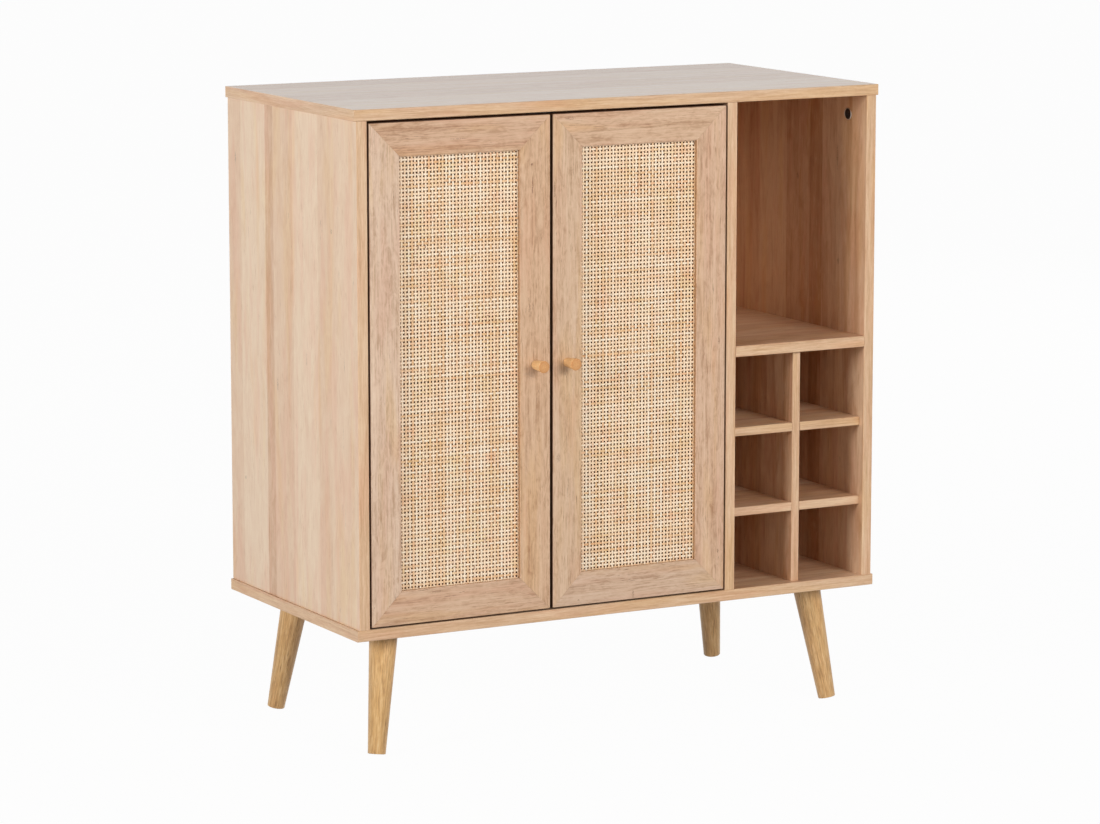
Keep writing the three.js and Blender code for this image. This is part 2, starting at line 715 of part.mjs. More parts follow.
// The cup: a shell in the stile's bore, a flange with two wings, and the pivot pin
function hingeCup() {
  const outer = cupRadius - cupClearance;
  const shell = turned([
    [0, -cupDepth], [outer, -cupDepth], [outer, 0], [outer + cupRim, 0], [outer + cupRim, cupFlange],
    [outer - cupWall, cupFlange], [outer - cupWall, cupWall - cupDepth], [0, cupWall - cupDepth],
  ], roundSides);
  shell.rotateX(-Math.PI / 2);
  const wings = extrude(easedRectangle(cupWingLength, cupWingWidth, cupWingEase), cupFlange, "y");
  wings.translate(-cupWingWidth / 2, 0, -cupWingLength / 2);
  const mouth = bar(outer - cupWall, 2 * cupDepth, "y", roundSides).translate(0, cupWall - cupDepth, 0);
  const screws = [-cupScrewPitch / 2, cupScrewPitch / 2].map((z) => {
    return bar(cupScrewRadius, cupFlange + 2 * overrun, "y", holeSides).translate(0, -overrun, z);
  });
  const pinX = pivotInset - cupBoreEdge - cupRadius;
  const pinHalf = Math.sqrt(outer ** 2 - pinX ** 2) - cupWall / 2;
  const pin = bar(pivotPinRadius, 2 * pinHalf, "z");
  pin.translate(pinX, pivotDepth - frameThickness - boardSeam, -pinHalf);
  return join(cut(join(shell, [wings]), [mouth, ...screws]), [pin]);
}

// The plate on the wall: a base with two screw wings, and a ridge that the arm rides
function hingePlate() {
  const wingBack = plateWingDepth + plateWingWidth;
  const spine = block([0, armBendDepth + plateEnd, -plateSpineWidth / 2], [plateBase, armEndY, plateSpineWidth / 2]);
  const wings = extrude(easedRectangle(plateWingWidth, plateWingSpan, plateEase), plateBase, "x");
  wings.translate(0, plateWingDepth, -plateWingSpan / 2);
  const ridgeTop = armTopX - armSheet - plateSlideGap - boardSeam;
  const half = plateRidgeWidth / 2;
  const ridge = block([0, armBendDepth + plateEnd, -half], [ridgeTop, armEndY - plateEnd, half]);
  const screws = [-plateScrewPitch / 2, plateScrewPitch / 2].map((z) => {
    const hole = bar(plateScrewRadius, plateBase + 2 * overrun, "x", holeSides);
    return hole.translate(-overrun, (plateWingDepth + wingBack) / 2, z);
  });
  return cut(join(spine, [wings, ridge]), screws);
}

// Each hinge stands on a wall face. On the divider the same hinge is turned half round.
function addHinges() {
  const arm = hingeArm();
  const cup = hingeCup();
  const plate = hingePlate();
  const walls = [["left", leftInner, 0], ["right", dividerLeft, Math.PI]];
  const heights = [["lower", hingeEndDistance], ["upper", doorHeight - hingeEndDistance]];
  for (const [side, wallX, turn] of walls) {
    for (const [level, height] of heights) {
      const hinge = new THREE.Group();
      hinge.position.set(wallX, 0, doorFloor + height);
      hinge.rotation.y = turn;
      const cupX = doorSideGap + cupBoreEdge + cupRadius;
      place(hinge, `${side}_${level}_hinge_arm`, arm, nickel);
      place(hinge, `${side}_${level}_hinge_cup`, cup, nickel, cupX, frameThickness + boardSeam);
      place(hinge, `${side}_${level}_hinge_plate`, plate, nickel, boardSeam);
      carcass.add(hinge);
    }
  }
}

// A double magnetic catch: one housing under the top, with a pole face for each door
function addCatch() {
  const polesFront = frameThickness + boardSeam + strikeThickness + strikeGap;
  const housing = extrude(easedRectangle(catchWidth, catchDepth, catchEase), catchHeight, "z");
  const poles = [catchEase, catchWidth - catchEase - catchPoleWidth].map((x) => {
    const low = (catchHeight - catchPoleHeight) / 2;
    return block([x, -catchPoleReach, low], [x + catchPoleWidth, overrun, low + catchPoleHeight]);
  });
  const middle = leftInner + doorBayWidth / 2 - catchWidth / 2;
  const floor = bayCeiling - boardSeam - catchHeight;
  place(carcass, "magnetic_catch", join(housing, poles), greyPlastic, middle, polesFront + catchPoleReach, floor);
}

addTopAndBottom();
addUprights();
addBack();
addOpenShelf();
addRack();
addLooseShelf();
addCamLocks();
addLegs();
addDoor("left", leftInner + doorSideGap);
addDoor("right", dividerLeft - doorSideGap - doorWidth);
addHinges();
addCatch();

export default cabinet;
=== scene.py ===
"""Wine cabinet: oak-laminate case, framed cane doors, bottle rack and tapered legs.

Each operator makes or finishes one group of pieces round the fixed frame. Sizes are in
metres, in the frame's own axes: +Z up, the front faces -Y. The materials' patterns are worked
out in millimetres.
"""

import json
import math
import random

import bmesh
import bpy
from mathutils import Matrix, Vector


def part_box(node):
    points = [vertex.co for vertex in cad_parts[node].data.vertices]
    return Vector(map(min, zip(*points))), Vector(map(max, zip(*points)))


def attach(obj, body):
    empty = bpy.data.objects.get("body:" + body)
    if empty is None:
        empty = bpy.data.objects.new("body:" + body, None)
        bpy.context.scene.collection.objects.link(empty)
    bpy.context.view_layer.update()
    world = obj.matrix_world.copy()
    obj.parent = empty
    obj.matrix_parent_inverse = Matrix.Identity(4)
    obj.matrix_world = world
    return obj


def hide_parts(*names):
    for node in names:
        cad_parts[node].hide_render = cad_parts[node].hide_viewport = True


bl_info = {
    "name": "Wine cabinet",
    "version": (1, 0, 0),
    "blender": (4, 5, 0),
    "location": "View3D > Sidebar > Cabinet",
    "description": "Finishes an oak-laminate wine cabinet with woven cane doors",
    "category": "Add Mesh",
}

MM = 0.001

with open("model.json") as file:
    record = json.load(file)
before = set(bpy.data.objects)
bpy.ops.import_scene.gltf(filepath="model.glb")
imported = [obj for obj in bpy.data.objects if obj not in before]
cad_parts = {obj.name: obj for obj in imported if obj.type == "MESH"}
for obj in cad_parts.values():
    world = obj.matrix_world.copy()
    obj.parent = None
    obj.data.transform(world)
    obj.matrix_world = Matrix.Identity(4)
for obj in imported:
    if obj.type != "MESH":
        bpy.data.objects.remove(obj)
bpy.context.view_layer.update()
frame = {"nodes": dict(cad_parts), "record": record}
nodes = frame["nodes"]
mounts = {mount["name"]: mount for mount in frame["record"]["mounts"]}

SIDES = ("left", "right")
LEVELS = ("lower", "upper")
CORNERS = ("front_left", "front_right", "back_right", "back_left")


def hex_colour(code):
    """Turns an sRGB hex value to the linear colour that a socket takes."""
    channels = [int(code[start:start + 2], 16) / 255 for start in (0, 2, 4)]
    linear = [c / 12.92 if c <= 0.04045 else ((c + 0.055) / 1.055) ** 2.4 for c in channels]
    return (*linear, 1.0)


def size(name, description, default):
    """A length that a user may change, in metres."""
    return bpy.props.FloatProperty(
        name=name, description=description, default=default, unit="LENGTH", precision=5)


def colour(name, description, code):
    """A colour that a user may change, from its sRGB hex value."""
    return bpy.props.FloatVectorProperty(
        name=name, description=description, default=hex_colour(code), size=4,
        subtype="COLOR", min=0, max=1)


class CaneSizes(bpy.types.PropertyGroup):
    border: size("Border", "How far the cane runs on behind the frame's lip", 5.8 * MM)
    pitch: size("Pitch", "Distance from one strand to the next", 5.04 * MM)
    width: size("Strand width", "Width of one split cane strand", 2.85 * MM)
    thickness: size("Strand thickness", "Thickness of a strand at its edges", 0.55 * MM)
    crown: size("Crown", "How far a strand's glossy skin rises in the middle", 0.22 * MM)
    flat: size("Crossing", "Half the stretch that lies flat over a crossing strand", 1.25 * MM)
    wander: size("Wander", "Largest sideways drift of a strand", 0.16 * MM)


class MitreSizes(bpy.types.PropertyGroup):
    start: size("Start", "From a frame's outer edge to the glue", 1.4 * MM)
    band: size("Flat band", "Width of the frame's flat outer band", 12 * MM)
    slope: size("Slope's end", "From the outer edge to the foot of the sloping face", 44.6 * MM)
    end: size("End", "From the outer edge to the glue's inner end", 45.1 * MM)
    fall: size("Fall", "How far the frame's face falls to the lip", 1.2 * MM)
    lip: size("Lip", "Depth at which the lip starts", 2.1 * MM)
    depth: size("Depth", "How deep the glue goes", 5 * MM)
    sink: size("Sink", "How far the glue ends below the face", 0.22 * MM)
    glue: size("Glue", "Thickness of the glue in a mitre", 0.27 * MM)


class TurnedSizes(bpy.types.PropertyGroup):
    leg_length: size("Leg length", "From the sole to the seat on the plate", 156.7 * MM)
    leg_top: size("Leg top radius", "Radius of the leg at its seat", 19 * MM)
    leg_foot: size("Leg foot radius", "Radius of the leg at its sole", 12 * MM)
    leg_ease: size("Leg ease", "Rounding of the leg's two ends", 0.8 * MM)
    bolt_radius: size("Bolt radius", "Radius of the bolt in the leg's top", 3.9 * MM)
    bolt_length: size("Bolt length", "How far the bolt stands out of the leg", 8 * MM)
    knob_base: size("Knob base radius", "Radius of the knob against the door", 6 * MM)
    knob_ease: size("Knob ease", "Rounding of the knob's face", 1.3 * MM)


class HardwareSizes(bpy.types.PropertyGroup):
    steel_ease: size("Steel ease", "Rounding of pressed steel edges", 0.25 * MM)
    screw_head: size("Screw head radius", "Radius of a countersunk screw head", 3.4 * MM)
    screw_height: size("Screw head height", "How far a screw head stands out", 1.1 * MM)
    recess: size("Recess", "Length of a screw's cross recess", 3.8 * MM)
    knob_screw: size("Knob screw head", "Radius of the pan head behind a knob", 4 * MM)
    catch_pitch: size("Catch screw pitch", "Between the two screws of the catch", 22 * MM)
    ring_outer: size("Cam ring", "Outer radius of the bright ring round a cam lock", 8.8 * MM)
    ring_inner: size("Cam ring, inside", "Inner radius of that ring", 7.3 * MM)
    ring_height: size("Cam ring height", "From the ring's foot, inside the lock", 0.95 * MM)
    cup_pitch: size("Cup screw pitch", "Between the two screws of a hinge cup", 48 * MM)
    plate_pitch: size("Plate screw pitch", "Between the two screws of a wall plate", 32 * MM)
    plate_reach: size("Plate screw reach", "From a wall plate's front to its screws", 20.5 * MM)
    plate_base: size("Plate base", "Thickness of a wall plate at its screws", 2.5 * MM)
    leg_pitch: size("Leg plate screw pitch", "Between neighbouring screws of a leg plate", 44 * MM)
    leg_plate_steel: size("Leg plate steel", "Thickness of a leg plate", 2.5 * MM)


class Finishes(bpy.types.PropertyGroup):
    face_light: colour("Board, light", "Palest tone of the laminate", "ebd4ba")
    face_mid: colour("Board, middle", "Usual tone of the laminate", "debea2")
    face_dark: colour("Board, dark", "Darkest grain of the laminate", "bd906b")
    # Painted shade: the boards' inner faces are darkened by the next two colours, a cast with
    # darker streaks, to stand for the shade inside the case
    inner_painted_shade: colour("Board, inner faces", "Cast of the boards' inner faces", "fff8ee")
    inner_painted_shade_streaks: colour(
        "Board, inner figure", "Cast of the darker streaks on the inner faces", "e4cebb")
    band_light: colour("Edge band, light", "Palest tone of the edge band", "ebcfae")
    band_mid: colour("Edge band, middle", "Usual tone of the edge band", "d6b18e")
    band_dark: colour("Edge band, dark", "Darkest grain of the edge band", "b58a62")
    door_light: colour("Door, light", "Palest tone of the door frames", "e6cdb6")
    door_mid: colour("Door, middle", "Usual tone of the door frames", "d8baa1")
    door_dark: colour("Door, dark", "Darkest streaks of the door frames", "a98466")
    # The next two colours are partly painted shade: the narrow faces' brown stands for the raw
    # core and for the shade on the lip's sides, and the dark door edge is painted shade of the gap
    # round a door
    core: colour("Door core", "Narrow faces of the frame's lip", "b98c63")
    edge_painted_shade: colour("Door edge", "Stained edges all round a door", "4a2d1a")
    fibre_light: colour("Fibreboard, light", "Pale fibres on the back panel's back", "b58e63")
    fibre_dark: colour("Fibreboard, dark", "Dark fibres on the back panel's back", "86613d")
    leg_light: colour("Leg, light", "Palest grain of the legs", "e8ca9a")
    leg_mid: colour("Leg, middle", "Usual tone of the legs", "cfa56f")
    leg_dark: colour("Leg, dark", "Darkest grain of the legs", "906b42")
    knob_light: colour("Knob, light", "Palest tone of the knobs", "ecc48f")
    knob_mid: colour("Knob, middle", "Usual tone of the knobs", "deab73")
    knob_dark: colour("Knob, dark", "Sawn face of the knobs", "c98c56")
    cane_light: colour("Cane, light", "Palest strand of the cane", "fef0d9")
    cane_mid: colour("Cane, middle", "Usual tone of the cane", "fde2c1")
    cane_dark: colour("Cane, dark", "Darkest strand of the cane", "e8ba86")
    cane_edge: colour("Cane, edge", "Sawn sides of the strands", "b27a42")


class StageSettings(bpy.types.PropertyGroup):
    azimuth: bpy.props.FloatProperty(
        name="Azimuth", description="Turn of the camera from straight ahead",
        default=math.radians(28.599), subtype="ANGLE")
    pitch: bpy.props.FloatProperty(
        name="Pitch", description="How far the camera looks down",
        default=math.radians(9.303), subtype="ANGLE")
    place: bpy.props.FloatVectorProperty(
        name="Camera place", description="Where the camera stands",
        default=(-2.86191, -5.22918, 1.39105), size=3, unit="LENGTH", precision=5)
    lens: bpy.props.FloatProperty(
        name="Lens", description="Focal length on a 36 mm sensor, in millimetres",
        default=142.97)
    floor_size: size("Floor", "Side of the square floor", 30.0)
    floor_colour: colour("Floor colour", "Colour of the floor itself", "cfcdca")
    backdrop: colour("Backdrop", "Colour behind and below the object", "ffffff")


GROUPS = {
    "cabinet_cane": CaneSizes,
    "cabinet_mitres": MitreSizes,
    "cabinet_turned": TurnedSizes,
    "cabinet_hardware": HardwareSizes,
    "cabinet_finishes": Finishes,
    "cabinet_stage": StageSettings,
}


# Nodes and materials

# Casts and small marks in the woods and the cane
ROSE_CAST = hex_colour("fdf0ee")
STRAW_CAST = hex_colour("fefaec")
CRACK = hex_colour("6b4a33")
KNOT = hex_colour("6e4128")
CORE_FIBRE = hex_colour("5a3a22")
FIBRE_CHIP = hex_colour("5e4129")
CANE_BLUSH = hex_colour("fcebe6")
CANE_OLIVE = hex_colour("f6f4e2")
CANE_FLECK = hex_colour("a5663c")
CANE_STAIN = hex_colour("6b3f24")

# How far a seed moves the grain along each axis, in millimetres
SEED_STEPS = (411.0, 173.0, 937.0)

# Noise stays near its middle, so a feature's share is raised by this to be felt in full
NOISE_GAIN = 2.4

# How far a slow drift of the wood bends its rings, in radians
RING_SWAY = 150.0

# A face looks along an axis when its normal has more than this share along it
FACING_SHARE = 0.6

# A board's sheen: roughness, depth of the relief in millimetres, and how far the grain breaks it
MATT = (0.42, 0.05, 0.12)
SMOOTH = (0.24, 0.01, 0.03)

# The painted shade round a door's arris fades out between these distances from the edge
ARRIS_SHADE = (0.8 * MM, 1.0 * MM)

# The noise in every oak: how much longer than wide its blots are, and their kind
FIELDS = {
    "stripe": (22, {"detail": 3.0, "twist": 0.3}),
    "cloud": (2.6, {"detail": 7.0, "rough": 0.7, "twist": 1.1}),
    "fibre": (32, {"detail": 3.0, "rough": 0.66}),
}

# Each wood's features: size across the grain in millimetres and share, or the share alone
LAMINATE_LOOK = {
    "plank": (85.0, 0.5), "stripe": (18.0, 0.12), "cloud": (22.0, 0.34), "fibre": (1.4, 0.32),
    "arch": (6.0, 0.1), "rose": 0.7, "straw": 0.9, "pore": 0.5, "ray": 0.4, "crack": 0.6,
}
BAND_LOOK = {
    "plank": (240.0, 0.08), "stripe": (5.0, 0.36), "cloud": (4.0, 0.18), "fibre": (1.1, 0.5),
    "arch": (5.0, 0.1), "rose": 0.7, "straw": 0.9, "pore": 0.4, "ray": 0.3, "crack": 0.0,
}
DOOR_LOOK = {
    "plank": (240.0, 0.08), "stripe": (8.0, 0.38), "cloud": (8.0, 0.5), "fibre": (1.5, 0.5),
    "arch": (6.0, 0.26), "rose": 0.5, "straw": 0.9, "pore": 0.85, "ray": 0.5, "crack": 1.0,
}
LEG_LOOK = {
    "plank": (240.0, 0.0), "stripe": (4.0, 0.32), "cloud": (6.0, 0.18), "fibre": (1.3, 0.65),
    "arch": (5.0, 0.1), "rose": 0.3, "straw": 0.6, "pore": 0.85, "ray": 0.5, "crack": 0.0,
}


def add(tree, kind, sockets=None, stops=(), **settings):
    """Adds a node with its settings, a ramp's stops, and its sockets' values or links.

    A node that is given for a socket is linked by its first output in use.
    """
    made = tree.nodes.new("ShaderNode" + kind)
    for name, value in settings.items():
        setattr(made, name, value)
    for index, (position, tone) in enumerate(stops):
        elements = made.color_ramp.elements
        if index == 0:
            elements.remove(elements[1])
        element = elements.new(position) if index else elements[0]
        element.position = position
        element.color = tone
    for socket, value in (sockets or {}).items():
        if isinstance(value, bpy.types.Node):
            value = next(output for output in value.outputs if output.enabled)
        if isinstance(value, bpy.types.NodeSocket):
            tree.links.new(value, made.inputs[socket])
        else:
            made.inputs[socket].default_value = value
    return made


def new_material(name):
    """An empty material and its node tree."""
    material = bpy.data.materials.new(name)
    material.use_nodes = True
    material.node_tree.nodes.clear()
    return material, material.node_tree


def surface(tree, sockets):
    """Ends a material in a Principled shader with these sockets."""
    add(tree, "OutputMaterial", {"Surface": add(tree, "BsdfPrincipled", sockets)})


def wood_surface(tree, tint, relief, roughness, depth, broken=0.12):
    """A wood's surface: its colour, its sheen, broken by the grain, and its fine relief."""
    sheen = add(tree, "Math", {0: relief, 1: -broken, 2: roughness + broken / 2},
                operation="MULTIPLY_ADD")
    bump = add(tree, "Bump", {"Height": relief, "Strength": 0.35, "Distance": depth})
    surface(tree, {"Base Color": tint, "Roughness": sheen, "Normal": bump})


def weighed(tree, parts):
    """The sum of what nodes give, each times its weight."""
    total = 0.0
    for part, weight in parts:
        total = add(tree, "Math", {0: part, 1: weight, 2: total}, operation="MULTIPLY_ADD")
    return total


def toned(tree, base, mask, share, tone, blend="MIX"):
    """Lays a tone over a base where a mask says, at a share of its strength."""
    factor = add(tree, "Math", {0: mask, 1: share}, operation="MULTIPLY")
    return add(tree, "Mix", {0: factor, 6: base, 7: tone}, data_type="RGBA", blend_type=blend)


def on_object(tree):
    """The place on the object, in metres."""
    return add(tree, "TexCoord").outputs["Object"]


def place_along(tree, axis):
    """The place along one axis of the object, in metres."""
    return add(tree, "SeparateXYZ", {0: on_object(tree)}).outputs[axis]


def in_millimetres(tree, place, seed):
    """A place in metres as millimetres, moved by a seed so that no two boards match."""
    offset = tuple(seed * step for step in SEED_STEPS)
    return add(tree, "VectorMath", {0: place, 1: (1 / MM,) * 3, 2: offset},
               operation="MULTIPLY_ADD")


def along_grain(tree, grain, seed):
    """The object's coordinates in millimetres, turned so that the grain runs along Z."""
    axes = add(tree, "SeparateXYZ", {0: on_object(tree)}).outputs
    order = {"X": "YZX", "Y": "ZXY", "Z": "XYZ"}[grain]
    turned = add(tree, "CombineXYZ", {index: axes[axis] for index, axis in enumerate(order)})
    return in_millimetres(tree, turned, seed)


def looking(tree, way):
    """1 on faces that look one way, such as -X, or either way along an axis, such as X."""
    normal = add(tree, "SeparateXYZ", {0: add(tree, "TexCoord").outputs["Normal"]})
    part = normal.outputs[way[-1]]
    if way[0] == "-":
        part = add(tree, "Math", {0: part, 1: -1.0}, operation="MULTIPLY")
    elif way[0] != "+":
        part = add(tree, "Math", {0: part}, operation="ABSOLUTE")
    return add(tree, "Math", {0: part, 1: FACING_SHARE}, operation="GREATER_THAN")


def backdrop_rays(tree):
    """1 for the rays that see the backdrop as it is: camera rays, mirrored and refracted ones."""
    rays = add(tree, "LightPath").outputs
    seen = add(tree, "Math", {0: rays["Is Camera Ray"], 1: rays["Is Glossy Ray"]},
               operation="MAXIMUM")
    return add(tree, "Math", {0: seen, 1: rays["Is Transmission Ray"]}, operation="MAXIMUM")


def blots(tree, point, across, along, detail=2.0, rough=0.5, twist=0.0):
    """Noise whose blots are as wide and as long as given in millimetres."""
    shares = (1 / across, 1 / across, 1 / along)
    scaled = add(tree, "VectorMath", {0: point, 1: shares}, operation="MULTIPLY")
    return add(tree, "TexNoise", {
        "Vector": scaled, "Scale": 1.0, "Detail": detail, "Roughness": rough, "Distortion": twist})


def patches(tree, point, across, along, low, high, **noise):
    """Blots with soft outlines: 0 where the noise is below low, and 1 where it is above high."""
    field = blots(tree, point, across, along, **noise)
    return add(tree, "MapRange", {"Value": field, "From Min": low, "From Max": high},
               interpolation_type="SMOOTHSTEP")


def knot_mask(tree, centre, radius, stretch):
    """A dark spot round a place on the board, given in metres, with its radius along X."""
    place = on_object(tree)
    shares = tuple(1 / (radius * factor) for factor in stretch)
    moved = add(tree, "VectorMath", {0: place, 1: centre}, operation="SUBTRACT")
    scaled = add(tree, "VectorMath", {0: moved, 1: shares}, operation="MULTIPLY")
    distance = add(tree, "VectorMath", {0: scaled}, operation="LENGTH")
    point = in_millimetres(tree, place, 0.7)
    ragged = blots(tree, point, 1.6, 3.0, detail=3.0)
    level = weighed(tree, [(distance, -1.0), (ragged, 1.1)])
    spot = add(tree, "MapRange", {"Value": level, "From Min": -0.75, "From Max": 0.05},
               interpolation_type="SMOOTHSTEP")
    specks = patches(tree, point, 0.8, 1.6, 0.4, 0.56)
    return add(tree, "Math", {0: spot, 1: specks}, operation="MULTIPLY")


def marked(tree, tint, marks, tone):
    """Knots and cracks at set places: each is a place, a radius, a stretch and a depth."""
    for centre, radius, stretch, depth in marks:
        tint = toned(tree, tint, knot_mask(tree, centre, radius, stretch), depth, tone)
    return tint


def plank_tones(tree, planks):
    """The planks' tones across a side panel, from pairs of front edge along Y in mm and level."""
    across = place_along(tree, "Y")
    total = planks[0][1]
    for (_, before), (edge, level) in zip(planks, planks[1:]):
        beyond = add(tree, "Math", {0: across, 1: edge * MM}, operation="GREATER_THAN")
        total = add(tree, "Math", {0: beyond, 1: level - before, 2: total},
                    operation="MULTIPLY_ADD")
    return total


def three_tones(finishes, part):
    """A part's tones, from the light one to the dark one."""
    return [getattr(finishes, f"{part}_{tone}") for tone in ("light", "mid", "dark")]


def oak_colour(tree, point, tones, look):
    """The colour and relief of oak whose grain runs along Z of the point."""
    light, middle, dark = tones
    axes = add(tree, "SeparateXYZ", {0: point}).outputs
    across = add(tree, "Math", {0: axes["X"], 1: axes["Y"]}, operation="ADD")

    # Glued-up planks, each of its own tone, with a straight hard edge between two
    if "planks" in look:
        parts = [(plank_tones(tree, look["planks"]), 1.0)]
        centre = 0.5
    else:
        wide, share = look["plank"]
        count = add(tree, "Math", {0: across, 1: wide}, operation="DIVIDE")
        plank = add(tree, "TexVoronoi", {"W": count, "Scale": 1.0}, voronoi_dimensions="1D")
        parts = [(add(tree, "SeparateColor", {0: plank.outputs["Color"]}), share)]
        centre = 0.5 * share

    # Soft stripes, feathery clouds and fine fibres
    fields = {}
    for feature, (stretch, noise) in FIELDS.items():
        wide, share = look[feature]
        fields[feature] = blots(tree, point, wide, wide * stretch, **noise)
        parts.append((fields[feature], share * NOISE_GAIN))

    # Growth rings that close in long arches, here and there
    wide, share = look["arch"]
    sway = blots(tree, point, 40.0, 420.0)
    swing = weighed(tree, [(across, 2 * math.pi / wide), (sway, RING_SWAY)])
    wave = add(tree, "Math", {0: swing}, operation="SINE")
    patch = patches(tree, point, 30.0, 170.0, 0.5, 0.66)
    ring = add(tree, "Math", {0: wave, 1: 0.5}, operation="MULTIPLY")
    parts.append((add(tree, "Math", {0: ring, 1: patch, 2: 0.5}, operation="MULTIPLY_ADD"), share))

    soft = sum(look[feature][1] for feature in FIELDS)
    centre += 0.5 * look["arch"][1] + NOISE_GAIN / 2 * soft
    level = add(tree, "Math", {0: weighed(tree, parts), 1: 0.5 - centre}, operation="ADD")
    base = add(tree, "ValToRGB", {"Fac": level}, stops=[(0.0, light), (0.5, middle), (1.0, dark)])

    # Rosy and straw-coloured drifts
    rose = patches(tree, point, 18.0, 150.0, 0.46, 0.66, detail=3.0)
    straw = patches(tree, point, 25.0, 240.0, 0.48, 0.66, detail=3.0, twist=0.3)
    base = toned(tree, base, rose, look["rose"], ROSE_CAST, "MULTIPLY")
    base = toned(tree, base, straw, look["straw"], STRAW_CAST, "MULTIPLY")

    # Short dark pores and pale rays between them, wider than real ones, so that they show
    pore = patches(tree, point, 1.0, 18.0, 0.56, 0.7, rough=0.6)
    here = patches(tree, point, 22.0, 90.0, 0.4, 0.6)
    pores = add(tree, "Math", {0: pore, 1: here}, operation="MULTIPLY")
    rays = patches(tree, point, 1.2, 20.0, 0.6, 0.72)
    base = toned(tree, base, rays, look["ray"], light)
    base = toned(tree, base, pores, look["pore"], dark)

    # Hair cracks, in patches
    crack = patches(tree, point, 1.5, 20.0, 0.6, 0.7, detail=3.0, rough=0.7)
    patch = patches(tree, point, 13.0, 60.0, 0.58, 0.7, detail=1.0)
    cracks = add(tree, "Math", {0: crack, 1: patch}, operation="MULTIPLY")
    base = toned(tree, base, cracks, look["crack"], CRACK)
    return base, add(tree, "Math", {0: fields["fibre"], 1: pores}, operation="SUBTRACT")


def laminate(name, grain, seed, finishes, banded, inner, planks, marks, sheen):
    """Melamine-faced board: a printed oak paper under resin, smooth to the touch.

    Its cut edges carry a band of the same decor, a little more golden and finer in grain.
    The band runs along the edge, so on an end that looks along the grain it turns with it.
    The faces that look along inner, into the case, are darkened with streaks: painted shade of the
    case's inside.
    """
    material, tree = new_material(name)
    bands = three_tones(finishes, "band")
    look = {**LAMINATE_LOOK, "planks": planks} if planks else LAMINATE_LOOK
    point = along_grain(tree, grain, seed)
    tint, relief = oak_colour(tree, point, three_tones(finishes, "face"), look)
    tint = marked(tree, tint, marks, CRACK)
    # Painted shade on the faces that look into the case: a darker cast with darker streaks
    shade_streaks = blots(tree, point, 26.0, 230.0, detail=6.0, rough=0.62, twist=0.9)
    cast = add(tree, "ValToRGB", {"Fac": shade_streaks}, stops=[
        (0.46, finishes.inner_painted_shade), (0.66, finishes.inner_painted_shade_streaks)])
    for way in inner:
        tint = toned(tree, tint, looking(tree, way), 1.0, cast, "MULTIPLY")
    for axis in banded:
        run = "Y" if axis == grain else grain
        edge_point = along_grain(tree, run, seed + 0.37)
        band, band_relief = oak_colour(tree, edge_point, bands, BAND_LOOK)
        mask = looking(tree, axis)
        tint = toned(tree, tint, mask, 1.0, band)
        relief = add(tree, "Mix", {0: mask, 2: relief, 3: band_relief})
    roughness, depth, broken = sheen
    wood_surface(tree, tint, relief, roughness, depth * MM, broken)
    return material


def door_oak(name, grain, seed, finishes, tint_code="ffffff", knots=(), outer=None, edge=0.0):
    """Foil-wrapped frame with a rustic oak decor: short dark pores, small cracks and knots.

    The narrow faces are brown, partly as the raw core where the wrap ends on the lip and partly as
    painted shade. The outer way is where the door's edge looks, which is painted dark as the shade
    in the gap round the door. That painted shade reaches a little way round the arris onto the
    face, from the edge's place along that way.
    """
    material, tree = new_material(name)
    tones = three_tones(finishes, "door")
    tint, relief = oak_colour(tree, along_grain(tree, grain, seed), tones, DOOR_LOOK)
    tint = marked(tree, tint, knots, KNOT)
    tint = toned(tree, tint, 1.0, 1.0, hex_colour(tint_code), "MULTIPLY")
    if outer:
        near, far = ARRIS_SHADE
        inward = add(tree, "Math", {0: place_along(tree, outer[1]), 1: edge}, operation="SUBTRACT")
        away = add(tree, "Math", {0: inward}, operation="ABSOLUTE")
        ragged = add(tree, "Math", {0: relief, 1: 0.2 * MM, 2: away}, operation="MULTIPLY_ADD")
        arris = add(tree, "MapRange", {
            "Value": ragged, "From Min": near, "From Max": far, "To Min": 1.0, "To Max": 0.0},
            interpolation_type="SMOOTHSTEP")
        # Painted shade: the door's outer edge and a strip of the arris beside it are dark, as the
        # gap round the door is; the other narrow faces take the core's brown, partly painted shade
        # too
        side = add(tree, "Math", {0: 1.0, 1: looking(tree, "Y")}, operation="SUBTRACT")
        narrow = add(tree, "Math", {0: side, 1: arris}, operation="MAXIMUM")
        stained = add(tree, "Math", {0: looking(tree, outer), 1: arris}, operation="MAXIMUM")
        core = toned(tree, finishes.core, stained, 1.0, finishes.edge_painted_shade)
        core = toned(tree, core, relief, 0.5, CORE_FIBRE)
        tint = toned(tree, tint, narrow, 1.0, core)
    wood_surface(tree, tint, relief, 0.5, 0.06 * MM)
    return material


def leg_oak(name, place, axis, finishes):
    """Lacquered solid oak, turned: the grain follows the leg, wherever it leans."""
    material, tree = new_material(name)
    turn = Vector((0, 0, 1)).rotation_difference(axis).to_euler()
    local = add(tree, "Mapping", {"Vector": on_object(tree), "Location": place, "Rotation": turn},
                vector_type="TEXTURE")
    point = in_millimetres(tree, local, sum(place) * 7)
    tint, relief = oak_colour(tree, point, three_tones(finishes, "leg"), LEG_LOOK)
    wood_surface(tree, tint, relief, 0.4, 0.08 * MM)
    return material


